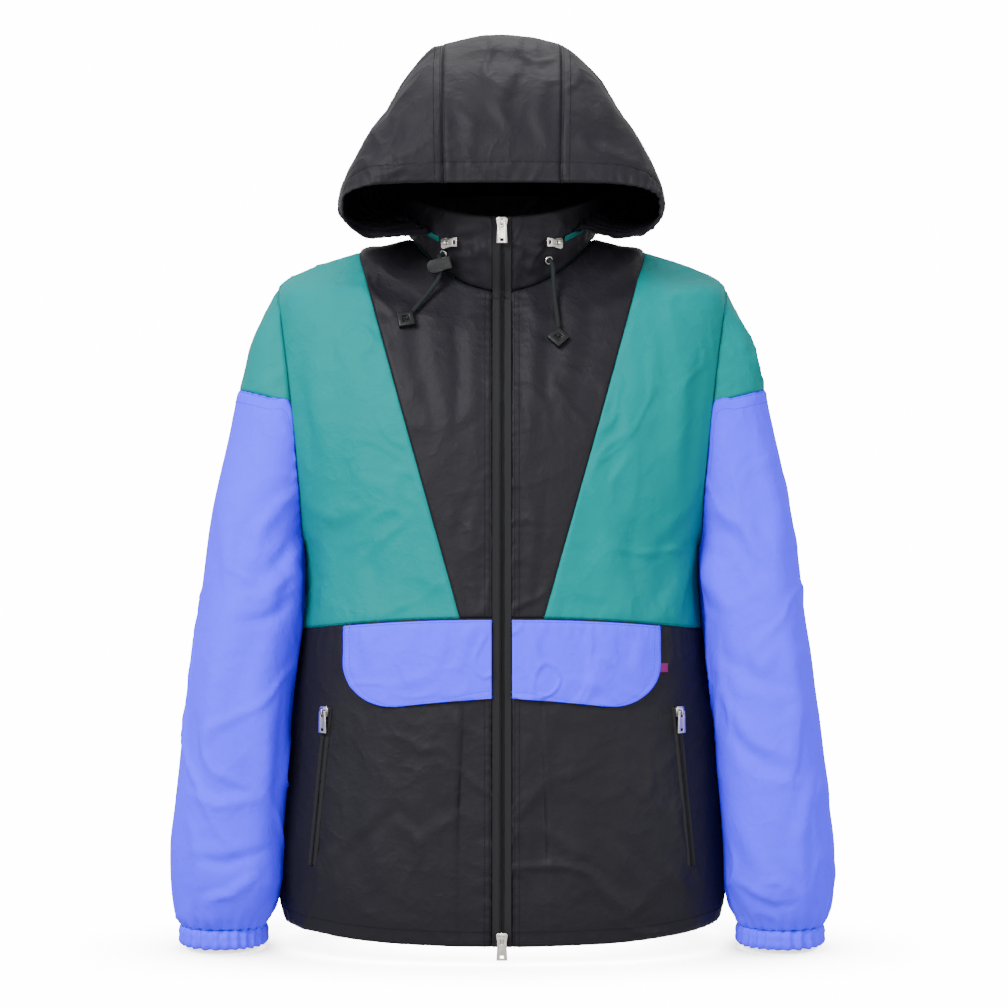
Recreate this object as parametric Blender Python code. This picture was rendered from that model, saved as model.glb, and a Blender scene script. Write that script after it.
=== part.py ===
"""A hooded, colour-blocked windbreaker jacket, filled out as if it were worn.

Metres, +Z up, the front faces -Y and the wearer's left sleeve is at +X. The origin is inside the neck,
where the wearer's shoulders carry the jacket. Each cloth piece is a wall of one thickness, built from a grid
of points on the garment's outer surface, and neighbouring pieces stop SEAM_GAP apart.
"""
import math
from collections import namedtuple

import bmesh
import bpy
import numpy as np
from mathutils import Matrix, Vector

# ---- driving sizes -------------------------------------------------------------------------------------
CLOTH = 0.0014            # thickness of a cloth wall
SEAM_GAP = 0.0003         # clear distance between two pieces that meet
LAYER_GAP = 0.0006        # clear distance between a panel and what lies on it
TAPE_IN = 0.0029          # inner edge of each zip tape, from the centre line
TAPE_OUT = 0.0090         # outer edge of each zip tape, where the front panel begins
CORD_DIAMETER = 0.0045

# ---- the body: one ring for each row, from the hem to the neck seam ------------------------------------
Ring = namedtuple("Ring", "side_x side_z front_y front_z back_y back_z square")
TORSO = [
    Ring(0.2180, -0.6680, -0.1480, -0.6790, 0.1380, -0.6740, 2.5),   # 0 hem
    Ring(0.2235, -0.6450, -0.1510, -0.6520, 0.1400, -0.6480, 2.5),
    Ring(0.2245, -0.6100, -0.1520, -0.6150, 0.1400, -0.6120, 2.5),
    Ring(0.2215, -0.5640, -0.1515, -0.5650, 0.1385, -0.5650, 2.5),
    Ring(0.2165, -0.5150, -0.1500, -0.5130, 0.1360, -0.5150, 2.45),
    Ring(0.2105, -0.4630, -0.1480, -0.4560, 0.1320, -0.4630, 2.4),
    Ring(0.2040, -0.4150, -0.1455, -0.4030, 0.1280, -0.4150, 2.4),
    Ring(0.2000, -0.3840, -0.1430, -0.3690, 0.1260, -0.3840, 2.4),   # 7 waist seam
    Ring(0.1975, -0.3520, -0.1415, -0.3350, 0.1250, -0.3520, 2.4),
    Ring(0.1970, -0.3200, -0.1400, -0.3000, 0.1250, -0.3200, 2.4),   # 9 underarm
    Ring(0.2060, -0.2750, -0.1380, -0.2580, 0.1275, -0.2750, 2.45),
    Ring(0.2150, -0.2250, -0.1350, -0.2160, 0.1300, -0.2250, 2.5),
    Ring(0.2220, -0.1600, -0.1290, -0.1700, 0.1320, -0.1650, 2.5),   # 12 cap seam
    Ring(0.2260, -0.1000, -0.1180, -0.1350, 0.1280, -0.1180, 2.45),
    Ring(0.2240, -0.0470, -0.1060, -0.1060, 0.1180, -0.0800, 2.4),   # 14 shoulder tip
    Ring(0.1960, -0.0270, -0.0980, -0.0880, 0.1080, -0.0480, 2.3),
    Ring(0.1420, -0.0090, -0.0900, -0.0720, 0.0950, -0.0150, 2.15),  # 16 yoke point
    Ring(0.0920, 0.0040, -0.0820, -0.0560, 0.0780, 0.0120, 2.0),     # 17 neck seam
]
HEM, WAIST, UNDERARM, CAP, TIP, YOKE, NECK = 0, 7, 9, 12, 14, 16, 17
COLLAR = [
    TORSO[NECK],
    Ring(0.0985, 0.0240, -0.0960, -0.0200, 0.0870, 0.0340, 2.0),
    Ring(0.1050, 0.0450, -0.0990, 0.0155, 0.0920, 0.0580, 2.0),
]
V_TOP = (0.142, -0.009)       # x, z where the wedge seam meets the shoulder seam
V_FOOT = (0.040, -0.369)      # x, z where it meets the waist seam
Armhole = namedtuple("Armhole", "level front_x back_x")
ARMHOLE = [
    Armhole(9, 0.1970, 0.1970), Armhole(9.6, 0.1966, 0.1960), Armhole(10.4, 0.1975, 0.1950),
    Armhole(11.2, 0.2010, 0.1975), Armhole(12, 0.2065, 0.2030), Armhole(12.7, 0.2115, 0.2090),
    Armhole(13.3, 0.2165, 0.2150), Armhole(13.7, 0.2205, 0.2195), Armhole(14, 0.2240, 0.2240),
]

# ---- a sleeve: one slanting ring for each row, from the underarm to the cuff seam -----------------------
SleeveRing = namedtuple("SleeveRing", "outer_x outer_z inner_x inner_z middle_y half_depth hold")
SLEEVE = [
    SleeveRing(0.2620, -0.1470, 0.1970, -0.3220, 0.000, 0.066, 1.00),
    SleeveRing(0.2716, -0.1891, 0.1996, -0.3450, -0.004, 0.073, 0.70),
    SleeveRing(0.2799, -0.2271, 0.2010, -0.3720, -0.010, 0.076, 0.42),
    SleeveRing(0.2870, -0.2690, 0.2043, -0.4020, -0.018, 0.077, 0.20),
    SleeveRing(0.2920, -0.3105, 0.2082, -0.4360, -0.026, 0.077, 0.07),
    SleeveRing(0.2970, -0.3557, 0.2114, -0.4720, -0.034, 0.0765, 0.0),
    SleeveRing(0.3028, -0.4008, 0.2138, -0.5050, -0.040, 0.076, 0.0),
    SleeveRing(0.3076, -0.4457, 0.2162, -0.5380, -0.045, 0.075, 0.0),
    SleeveRing(0.3126, -0.4858, 0.2182, -0.5680, -0.048, 0.0745, 0.0),
    SleeveRing(0.3168, -0.5229, 0.2197, -0.5970, -0.050, 0.074, 0.0),
    SleeveRing(0.3207, -0.5582, 0.2206, -0.6220, -0.050, 0.073, 0.0),
    SleeveRing(0.3246, -0.5915, 0.2212, -0.6410, -0.050, 0.071, 0.0),
    SleeveRing(0.3246, -0.6259, 0.2225, -0.6540, -0.050, 0.066, 0.0),
    SleeveRing(0.3207, -0.6553, 0.2270, -0.6640, -0.050, 0.058, 0.0),
    SleeveRing(0.3140, -0.6710, 0.2310, -0.6720, -0.050, 0.047, 0.0),
]
CuffRing = namedtuple("CuffRing", "drop half_width half_depth")
CUFF = [CuffRing(0.0000, 0.0412, 0.0467), CuffRing(0.0095, 0.0430, 0.0485), CuffRing(0.0190, 0.0412, 0.0467)]
CUFF_TOP = (0.2725, -0.050, -0.6722)
CapHoop = namedtuple("CapHoop", "level outer_x outer_z")
CAP_HOOPS = [CapHoop(12, 0.2620, -0.1470), CapHoop(12.7, 0.2555, -0.1180), CapHoop(13.3, 0.2445, -0.0880)]

# ---- the hood: one hoop for each row, from the mouth edge over the crown to the nape ---------------------
Hoop = namedtuple("Hoop", "top_y top_z seam_x seam_drop wide_x wide_y wide_z square sag neck_angle")
HOOD = [
    Hoop(-0.150, 0.0420, 0.0550, 0.0002, 0.1515, -0.126, 0.0220, 3.0, 0.034, 43),   # mouth edge
    Hoop(-0.1440, 0.0900, 0.0560, 0.0030, 0.1555, -0.100, 0.0280, 2.0, 0.030, 50),
    Hoop(-0.1150, 0.1450, 0.0575, 0.0050, 0.1575, -0.066, 0.0320, 1.55, 0.026, 64),
    Hoop(-0.0480, 0.1980, 0.0585, 0.0090, 0.1580, -0.030, 0.0350, 1.32, 0.026, 82),
    Hoop(0.0400, 0.2030, 0.0575, 0.0090, 0.1500, 0.022, 0.0400, 1.35, 0.024, 103),
    Hoop(0.1070, 0.1680, 0.0540, 0.0080, 0.1310, 0.060, 0.0480, 1.6, 0.020, 121),
    Hoop(0.1400, 0.1120, 0.0490, 0.0060, 0.1030, 0.090, 0.0520, 1.9, 0.014, 136),
    Hoop(0.1370, 0.0640, 0.0440, 0.0040, 0.0730, 0.110, 0.0500, 2.0, 0.007, 147),
    Hoop(0.0925, 0.0395, 0.0400, 0.0010, 0.0435, 0.0850, 0.0385, 2.0, 0.000, 154),
]
HOOD_SEAT = 0.58              # height of the hood's lower edge on the collar, as a part of its height
LIP_DIP = 0.0135              # how far the hood sags below its own lower edge at the sides


def blend(rows, at):
    """Smooth curve through every column of a table, at a row number that may fall between two rows."""
    last = len(rows) - 1
    low = min(max(int(math.floor(at)), 0), last - 1)
    part = at - low
    before = np.array(rows[max(low - 1, 0)], float)
    start = np.array(rows[low], float)
    end = np.array(rows[low + 1], float)
    after = np.array(rows[min(low + 2, last)], float)
    leave = (end - before) / 2 if low > 0 else end - start
    arrive = (after - start) / 2 if low + 2 <= last else end - start
    squared, cubed = part * part, part ** 3
    values = (start * (2 * cubed - 3 * squared + 1) + leave * (cubed - 2 * squared + part)
              + end * (3 * squared - 2 * cubed) + arrive * (cubed - squared))
    return type(rows[0])(*values)


def ring_point(rows, at, angle):
    """Point on a ring: angle 0 is the front centre, 90 degrees the +X side, 180 degrees the back centre."""
    ring = blend(rows, at)
    sine, cosine = math.sin(angle), math.cos(angle)
    across = math.copysign(abs(sine) ** (2 / ring.square), sine)
    deep = abs(cosine) ** (2 / ring.square)
    end_y, end_z = (ring.front_y, ring.front_z) if cosine > 0 else (ring.back_y, ring.back_z)
    height = end_z + (ring.side_z - end_z) * sine * sine
    return Vector((ring.side_x * across, end_y * deep, height))


def angle_where(rows, at, reach, back=False):
    """The ring angle at which reach(point) is zero: it must grow from the centre line to the side."""
    low, high = (0.0, math.pi / 2)
    for _ in range(40):
        middle = (low + high) / 2
        point = ring_point(rows, at, math.pi - middle if back else middle)
        if reach(point) > 0:
            high = middle
        else:
            low = middle
    return math.pi - low if back else low


def front_edge_angle(rows, at):
    return angle_where(rows, at, lambda point: point.x - TAPE_OUT)


def wedge_angle(at):
    """The seam between the black wedge and the chest panel, straight when seen from the front."""
    if at >= YOKE:
        return math.pi / 2
    slope = (V_TOP[0] - V_FOOT[0]) / (V_TOP[1] - V_FOOT[1])
    return angle_where(TORSO, at, lambda point: point.x - V_FOOT[0] - (point.z - V_FOOT[1]) * slope)


def armhole_x(at, back):
    levels = [row.level for row in ARMHOLE]
    widths = [row.back_x if back else row.front_x for row in ARMHOLE]
    return float(np.interp(at, levels, widths))


def outer_angle(at, back):
    """Where a front or back panel ends at the side: side seam, then armhole, then shoulder seam."""
    if at <= UNDERARM or at >= TIP:
        return math.pi / 2
    return angle_where(TORSO, at, lambda point: point.x - armhole_x(at, back), back)


# ---- sampling shared by neighbouring panels ---------------------------------------------------------------
LOWER_ROWS = [0, 1, 2, 3, 4, 5, 6, 7]
SIDE_ROWS = [7, 8] + [row.level for row in ARMHOLE]
WEDGE_ROWS = [7, 8, 9, 10, 11, 12, 13, 14, 14.7, 15.4, 16]
NECK_ROWS = [16.5, 17]
WEDGE_COLUMNS = 5
CHEST_COLUMNS = 6
BACK_COLUMNS = 6
HOOD_SIDE_COLUMNS = 9
SLEEVE_ARC = 10               # columns of a sleeve over its outer half


def steps(count):
    return [step / count for step in range(count + 1)]


def mix(start, end, part):
    return start + (end - start) * part


def wedge_grid():
    """Black wedge: zip edge to wedge seam, waist seam to shoulder seam and neck seam."""
    grid = []
    for level in WEDGE_ROWS + NECK_ROWS:
        start, end = front_edge_angle(TORSO, level), wedge_angle(level)
        grid.append([ring_point(TORSO, level, mix(start, end, part)) for part in steps(WEDGE_COLUMNS)])
    return grid


def chest_grid():
    """Teal chest panel: wedge seam to side seam and armhole, waist seam to shoulder seam."""
    grid = []
    for left_level, right_level in zip(WEDGE_ROWS, SIDE_ROWS):
        left, right = wedge_angle(left_level), outer_angle(right_level, False)
        grid.append([ring_point(TORSO, mix(left_level, right_level, part), mix(left, right, part))
                     for part in steps(CHEST_COLUMNS)])
    return grid


def front_lower_grid():
    """Black front skirt: zip edge to side seam, hem to waist seam, with the columns of the panels above."""
    grid = []
    for level in LOWER_ROWS:
        start, turn, end = front_edge_angle(TORSO, level), wedge_angle(WAIST), math.pi / 2
        inner = [mix(start, turn, part) for part in steps(WEDGE_COLUMNS)]
        outer = [mix(turn, end, part) for part in steps(CHEST_COLUMNS)][1:]
        grid.append([ring_point(TORSO, level, angle) for angle in inner + outer])
    return grid


def back_grid(levels):
    """Whole back between two levels, from one side to the other."""
    grid = []
    for level in levels:
        edge = outer_angle(level, True)
        half = [ring_point(TORSO, level, mix(edge, math.pi, part)) for part in steps(BACK_COLUMNS)]
        grid.append(half + [mirrored(point) for point in reversed(half[:-1])])
    return grid


def shoulder_rows():
    """Levels of the chest panel's points along the shoulder seam, from the tip inward."""
    return [mix(TIP, YOKE, part) for part in steps(CHEST_COLUMNS)][1:]


def mirrored(point):
    return Vector((-point.x, point.y, point.z))


def armhole_point(at, back):
    return ring_point(TORSO, at, outer_angle(at, back))


def cap_hoop(hoop):
    """Half ellipse from the front of the armhole over the outer side to its back."""
    front, back = armhole_point(hoop.level, False), armhole_point(hoop.level, True)
    middle = (front + back) / 2
    outer = Vector((hoop.outer_x, middle.y, hoop.outer_z))
    points = []
    for part in steps(SLEEVE_ARC):
        angle = math.pi * part
        along = math.copysign(abs(math.cos(angle)) ** 0.88, math.cos(angle))
        points.append(middle + (front - back) / 2 * along + (outer - middle) * math.sin(angle) ** 0.88)
    return points


def cap_grid():
    """Teal sleeve cap: from the cap seam up to the armhole over the shoulder."""
    grid = [cap_hoop(hoop) for hoop in CAP_HOOPS]
    edges = [armhole_point(13.7, False), armhole_point(14, False), armhole_point(13.7, True)]
    grid.append([edges[0].lerp(edges[1], part * 2) if part <= 0.5 else edges[1].lerp(edges[2], part * 2 - 1)
                 for part in steps(SLEEVE_ARC)])
    return grid


def sleeve_mouth():
    """Upper edge of the blue sleeve: the cap seam, then the armhole under the arm, as one closed loop."""
    under = [row.level for row in ARMHOLE if row.level <= CAP]
    back = [armhole_point(level, True) for level in reversed(under)]
    front = [armhole_point(level, False) for level in under]
    return cap_hoop(CAP_HOOPS[0]) + back[1:] + front[1:-1]


def sleeve_angles():
    """Angle round a sleeve of each point of its mouth: 0 outer, 90 degrees back, -90 degrees front."""
    over = [math.pi * (part - 0.5) for part in steps(SLEEVE_ARC)]
    below = len(sleeve_mouth()) - len(over) + 1
    return over + [math.pi / 2 + math.pi * step / below for step in range(1, below)]


def sleeve_ring(ring, angle):
    outer = Vector((ring.outer_x, ring.middle_y, ring.outer_z))
    inner = Vector((ring.inner_x, ring.middle_y, ring.inner_z))
    middle = (outer + inner) / 2
    return middle + (outer - middle) * math.cos(angle) + Vector((0, ring.half_depth * math.sin(angle), 0))


def cuff_ring(ring, angle):
    top = Vector(CUFF_TOP)
    return top + Vector((ring.half_width * math.cos(angle), ring.half_depth * math.sin(angle), -ring.drop))


def sleeve_grid():
    """Blue sleeve: its mouth, then slanting rings that lose the mouth's shape row by row."""
    mouth, angles = sleeve_mouth(), sleeve_angles()
    grid = [mouth]
    for ring in SLEEVE[1:]:
        grid.append([sleeve_ring(ring, angle) + (edge - sleeve_ring(SLEEVE[0], angle)) * ring.hold
                     for edge, angle in zip(mouth, angles)])
    grid.append([cuff_ring(CUFF[0], angle) for angle in angles])
    return grid


def cuff_grid():
    return [[cuff_ring(ring, angle) for angle in sleeve_angles()] for ring in CUFF]


def collar_grid():
    """Stand collar from one side of the zip round the back to the other."""
    grid = []
    for level in (0, 1, 2):
        start = front_edge_angle(COLLAR, level)
        wedge = [mix(start, math.pi / 2, part) for part in steps(WEDGE_COLUMNS)]
        back = [mix(math.pi / 2, math.pi, part) for part in steps(BACK_COLUMNS)][1:]
        half = [ring_point(COLLAR, level, angle) for angle in wedge + back]
        grid.append(half + [mirrored(point) for point in reversed(half[:-1])])
    return grid


def outward(rows, at, angle):
    """Unit normal of a ring surface."""
    small = 0.01
    along = ring_point(rows, at, angle + small) - ring_point(rows, at, angle - small)
    up = ring_point(rows, at + small, angle) - ring_point(rows, at - small, angle)
    return along.cross(up).normalized()


def lifted(rows, at, angle, height):
    return ring_point(rows, at, angle) + outward(rows, at, angle) * height


def hood_seat(angle_degrees):
    """Lower edge of the hood, lying on the collar."""
    return lifted(COLLAR, HOOD_SEAT * 2, math.radians(angle_degrees), LAYER_GAP)


def hood_hoop(at, part):
    """Half hoop: part 0 at the gusset seam, part 1 at the collar."""
    hoop = blend(HOOD, at)
    seam = Vector((hoop.seam_x, hoop.top_y, hoop.top_z - hoop.seam_drop))
    wide = Vector((hoop.wide_x, hoop.wide_y, hoop.wide_z))
    foot = hood_seat(hoop.neck_angle)
    turn = 0.62
    if part <= turn:
        angle = part / turn * math.pi / 2
        over = math.sin(angle) ** (2 / hoop.square)
        down = math.cos(angle) ** (2 / hoop.square) if part < turn else 0.0
        return Vector((mix(seam.x, wide.x, over), mix(wide.y, seam.y, down), mix(wide.z, seam.z, down)))
    along = (part - turn) / (1 - turn)
    hang = wide - Vector((0, 0, hoop.sag))
    reach = Vector((foot.x + (wide.x - foot.x) * 0.53, mix(foot.y, wide.y, 0.5), foot.z - LIP_DIP * hoop.sag / 0.034))
    away = 1 - along
    return (wide * away ** 3 + hang * 3 * away * away * along + reach * 3 * away * along * along
            + foot * along ** 3)


HOOD_ROWS = [0, 0.5, 1, 1.6, 2.2, 2.8, 3.4, 4, 4.6, 5.2, 5.8, 6.4, 7, 7.6]


def hood_side_grid():
    return [[hood_hoop(row, part) for part in steps(HOOD_SIDE_COLUMNS)] for row in HOOD_ROWS]


def hood_centre_grid():
    """Gusset over the head, from the brim to the nape, a little crowned across."""
    grid = []
    for row in HOOD_ROWS + [8]:
        hoop = blend(HOOD, row)
        seam = hood_hoop(row, 0)
        line = []
        for part in (1.0, 0.5, 0.0, -0.5, -1.0):
            line.append(Vector((seam.x * part, seam.y, hoop.top_z - hoop.seam_drop * part * part)))
        grid.append(line)
    return grid


# ---- from grids to walls ------------------------------------------------------------------------------------
class Piece:
    """One cut piece: its grid of outer points, whether it closes round, and a point inside the garment."""

    def __init__(self, name, colour, grid, core, closed=False):
        self.name = name
        self.colour = colour
        self.grid = grid
        self.closed = closed
        self.core = core
        self.sign = 1.0
        total = 0.0
        for corners, normal in self.faces():
            middle = sum(corners, Vector()) / 4
            inside = Vector((core[0], core[1], middle.z if core[2] is None else core[2]))
            total += normal.dot((middle - inside).normalized())
        self.sign = 1.0 if total > 0 else -1.0

    def cells(self):
        columns = len(self.grid[0])
        for row in range(len(self.grid) - 1):
            for column in range(columns if self.closed else columns - 1):
                yield row, column, (column + 1) % columns

    def faces(self):
        for row, column, following in self.cells():
            corners = [self.grid[row][column], self.grid[row][following],
                       self.grid[row + 1][following], self.grid[row + 1][column]]
            normal = (corners[2] - corners[0]).cross(corners[3] - corners[1]) * self.sign
            yield corners, normal


def key(point):
    return tuple(round(value, 5) for value in point)


def shared_normals(pieces):
    """Normals at every grid point, the same for the pieces that meet there."""
    sums = {}
    for piece in pieces:
        for corners, normal in piece.faces():
            for corner in corners:
                sums[key(corner)] = sums.get(key(corner), Vector()) + normal
    return {place: total.normalized() for place, total in sums.items()}


def inset(piece):
    """The grid with its open edges drawn in by half of the seam gap."""
    grid = [[point.copy() for point in line] for line in piece.grid]
    half = SEAM_GAP / 2
    last = len(grid) - 1
    for column in range(len(grid[0])):
        for edge, inner in ((0, 1), (last, last - 1)):
            step = piece.grid[inner][column] - piece.grid[edge][column]
            if step.length > 1e-6:
                grid[edge][column] += step.normalized() * half
    if not piece.closed:
        end = len(grid[0]) - 1
        for row in range(len(grid)):
            for edge, inner in ((0, 1), (end, end - 1)):
                step = piece.grid[row][inner] - piece.grid[row][edge]
                if step.length > 1e-6:
                    grid[row][edge] += step.normalized() * half
    return grid


def material(name, colour, roughness, metallic=0.0):
    found = bpy.data.materials.get(name)
    if found:
        return found
    made = bpy.data.materials.new(name)
    made.use_nodes = True
    shader = made.node_tree.nodes["Principled BSDF"]
    shader.inputs["Base Color"].default_value = (*colour, 1.0)
    shader.inputs["Roughness"].default_value = roughness
    shader.inputs["Metallic"].default_value = metallic
    return made


LOOKS = {
    "black_nylon": ((0.022, 0.021, 0.026), 0.55, 0.0),
    "teal_nylon": ((0.008, 0.300, 0.310), 0.55, 0.0),
    "violet_nylon": ((0.160, 0.220, 0.950), 0.55, 0.0),
    "plum_label": ((0.120, 0.020, 0.080), 0.7, 0.0),
    "black_tape": ((0.020, 0.020, 0.022), 0.7, 0.0),
    "teal_tape": ((0.010, 0.260, 0.250), 0.7, 0.0),
    "nickel": ((0.700, 0.690, 0.660), 0.28, 1.0),
    "black_plastic": ((0.030, 0.030, 0.033), 0.4, 0.0),
    "dark_cord": ((0.016, 0.028, 0.028), 0.8, 0.0),
}


def add_object(name, mesh, look, flat=False):
    mesh.materials.append(material(look, *LOOKS[look]))
    made = bpy.data.objects.new(name, mesh)
    bpy.context.scene.collection.objects.link(made)
    if not flat:
        mesh.shade_smooth()
        mesh.set_sharp_from_angle(angle=math.radians(40))
    return made


def wall_mesh(name, outer, inner, closed, sign):
    """Closed wall between two grids of the same size."""
    rows, columns = len(outer), len(outer[0])
    vertices = [point for line in outer for point in line] + [point for line in inner for point in line]
    shift = rows * columns
    around = columns if closed else columns - 1
    faces = []

    def place(row, column):
        return row * columns + column % columns

    def quad(a, b, c, d):
        faces.append((a, b, c) if sign > 0 else (c, b, a))
        faces.append((a, c, d) if sign > 0 else (d, c, a))

    for row in range(rows - 1):
        for column in range(around):
            a, b = place(row, column), place(row, column + 1)
            c, d = place(row + 1, column + 1), place(row + 1, column)
            quad(a, b, c, d)
            faces.append((a + shift, c + shift, b + shift) if sign > 0 else (b + shift, c + shift, a + shift))
            faces.append((a + shift, d + shift, c + shift) if sign > 0 else (c + shift, d + shift, a + shift))
    for column in range(around):
        a, b = place(0, column), place(0, column + 1)
        quad(b, a, a + shift, b + shift)
        a, b = place(rows - 1, column), place(rows - 1, column + 1)
        quad(a, b, b + shift, a + shift)
    if not closed:
        for row in range(rows - 1):
            a, b = place(row, 0), place(row + 1, 0)
            quad(a, b, b + shift, a + shift)
            a, b = place(row, columns - 1), place(row + 1, columns - 1)
            quad(b, a, a + shift, b + shift)
    mesh = bpy.data.meshes.new(name)
    mesh.from_pydata([tuple(vertex) for vertex in vertices], [], faces)
    mesh.validate()
    return mesh


def build_cloth(pieces):
    normals = shared_normals(pieces)
    for piece in pieces:
        outer = inset(piece)
        inner = [[point - normals[key(source)] * CLOTH for point, source in zip(line, sources)]
                 for line, sources in zip(outer, piece.grid)]
        mesh = wall_mesh(piece.name, outer, inner, piece.closed, piece.sign)
        add_object(piece.name, mesh, piece.colour)


def plate(name, grid_below, height, look, flat=False):
    """Strip lying on a panel: the grid moved out by the layer gap, and by its own thickness above that."""
    low = [[point + normal * LAYER_GAP for point, normal in line] for line in grid_below]
    high = [[point + normal * (LAYER_GAP + height) for point, normal in line] for line in grid_below]
    middle = high[len(high) // 2][len(high[0]) // 2]
    ahead = grid_below[len(high) // 2][len(high[0]) // 2][1]
    across = high[0][-1] - high[0][0]
    up = high[-1][0] - high[0][0]
    sign = 1.0 if across.cross(up).dot(ahead) > 0 else -1.0
    mesh = wall_mesh(name, high, low, False, sign)
    return add_object(name, mesh, look, flat), middle


def flip(point, side):
    return Vector((point.x * side, point.y, point.z))


def side_name(stem, side):
    return stem + ("_left" if side > 0 else "_right")


def cloth_pieces():
    """Every shell piece; the wearer's left is +X."""
    trunk, head = (0.0, 0.0, None), (0.0, 0.0, 0.06)
    pieces = []
    back_levels = SIDE_ROWS + shoulder_rows() + NECK_ROWS
    pieces.append(Piece("back_upper", "teal_nylon", back_grid(back_levels), trunk))
    pieces.append(Piece("back_lower", "black_nylon", back_grid(LOWER_ROWS), trunk))
    pieces.append(Piece("collar", "black_nylon", collar_grid(), trunk))
    pieces.append(Piece("hood_centre", "black_nylon", hood_centre_grid(), head))
    halves = [
        ("front_centre", "black_nylon", wedge_grid(), trunk, False),
        ("front_chest", "teal_nylon", chest_grid(), trunk, False),
        ("front_lower", "black_nylon", front_lower_grid(), trunk, False),
        ("sleeve_cap", "teal_nylon", cap_grid(), (0.205, 0.0, -0.16), False),
        ("sleeve", "violet_nylon", sleeve_grid(), (0.268, -0.035, None), True),
        ("cuff", "violet_nylon", cuff_grid(), (0.2725, -0.05, None), True),
        ("hood_side", "black_nylon", hood_side_grid(), head, False),
    ]
    for stem, colour, grid, core, closed in halves:
        for side in (1, -1):
            turned = [[flip(point, side) for point in line] for line in grid]
            middle = (core[0] * side, core[1], core[2])
            pieces.append(Piece(side_name(stem, side), colour, turned, middle, closed))
    return pieces


# ---- what lies on the panels ---------------------------------------------------------------------------------
def on_ring(rows, low, high, x, z):
    """Point and unit normal of a ring surface's front, at a given x and z."""
    for _ in range(30):
        middle = (low + high) / 2
        angle = angle_where(rows, middle, lambda point: point.x - x)
        if ring_point(rows, middle, angle).z > z:
            high = middle
        else:
            low = middle
    return ring_point(rows, middle, angle), outward(rows, middle, angle)


FLAP_WIDTH = 0.1410           # from beside the zip to the outer edge
FLAP_DEPTH = 0.0740
FLAP_CORNER = 0.0500          # how far in the rounded corner reaches
FLAP_ROWS = [0.0, 0.3, 0.55, 0.72, 0.86, 0.95, 1.0]


def flap_grid():
    """Flap on the skirt of the front, hanging from the waist seam, its lower outer corner round."""
    grid = []
    for part in FLAP_ROWS:
        turn = max(0.0, (part - 0.42) / 0.58)
        width = FLAP_WIDTH - FLAP_CORNER * (1 - math.sqrt(max(0.0, 1 - turn * turn)))
        line = []
        for across in steps(7):
            x = TAPE_OUT + 0.0006 + width * across
            seam = ring_point(TORSO, WAIST, angle_where(TORSO, WAIST, lambda point: point.x - x)).z
            depth = 0.0015 + (FLAP_DEPTH + 0.006 * across) * part
            line.append(on_ring(TORSO, 1, 8, x, seam - depth))
        grid.append(line)
    return grid


POCKET_TOP = (0.1670, -0.4560)    # x, z of the pocket zip's upper end
POCKET_FOOT = (0.1815, -0.6080)
POCKET_TAPE = 0.0085


def pocket_grid():
    grid = []
    for part in steps(7):
        x, z = mix(POCKET_TOP[0], POCKET_FOOT[0], part), mix(POCKET_TOP[1], POCKET_FOOT[1], part)
        grid.append([on_ring(TORSO, 0, 8, x + POCKET_TAPE * shift, z) for shift in (-0.5, 0.5)])
    return grid


HOOD_ZIP_START = 38           # degrees round the collar from the front centre
HOOD_ZIP_ROWS = (0.92, 1.08)


def hood_zip_grid():
    """Tape and chain round the collar, just under the hood's lower edge."""
    half = [mix(HOOD_ZIP_START, 180, part) for part in steps(14)]
    grid = []
    for level in HOOD_ZIP_ROWS:
        line = [(ring_point(COLLAR, level, math.radians(angle)), outward(COLLAR, level, math.radians(angle)))
                for angle in half]
        grid.append(line + [(mirrored(point), mirrored(normal)) for point, normal in reversed(line[:-1])])
    return grid


TAB = (0.1539, -0.4180, 0.0075, 0.0085)    # x, z of its middle, width, height


def tab_grid():
    x, z, width, height = TAB
    return [[on_ring(TORSO, 3, 8, x + width * across, z + height * up) for across in (-0.5, 0.0, 0.5)]
            for up in (0.5, -0.5)]


# ---- the main zip ------------------------------------------------------------------------------------------
CHAIN_HALF = TAPE_IN - SEAM_GAP
CHAIN_PROUD = 0.0010
CHAIN_DEPTH = 0.0022
SLIDER_TOP_Z = 0.0100
SLIDER_FOOT_Z = -0.6700
SLIDER_REACH = 0.0056         # from a slider's pivot to each end along the zip


def zip_levels():
    return [(TORSO, level) for level in LOWER_ROWS + WEDGE_ROWS[1:] + NECK_ROWS] + [(COLLAR, 1), (COLLAR, 2)]


def tape_grid():
    grid = []
    for rows, level in zip_levels():
        edge = ring_point(rows, level, front_edge_angle(rows, level))
        inner = ring_point(rows, level, angle_where(rows, level, lambda point: point.x - TAPE_IN))
        grid.append([inner, edge])
    return grid


def front_line(z):
    """Front centre of the garment at a height."""
    heights, depths = [], []
    for rows, level in zip_levels():
        point = ring_point(rows, level, 0.0)
        heights.append(point.z)
        depths.append(point.y)
    return float(np.interp(z, heights, depths))


def build_chain():
    low, high = SLIDER_FOOT_Z + SLIDER_REACH, SLIDER_TOP_Z - SLIDER_REACH
    marks = [ring_point(rows, level, 0.0).z for rows, level in zip_levels()]
    heights = [low] + [mark for mark in marks if low + 0.004 < mark < high - 0.004] + [high]
    outer = [[Vector((x, front_line(z) - CHAIN_PROUD, z)) for x in (-CHAIN_HALF, CHAIN_HALF)] for z in heights]
    inner = [[point + Vector((0, CHAIN_DEPTH, 0)) for point in line] for line in outer]
    add_object("zip_chain", wall_mesh("zip_chain", outer, inner, False, 1.0), "black_tape", True)


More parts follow.
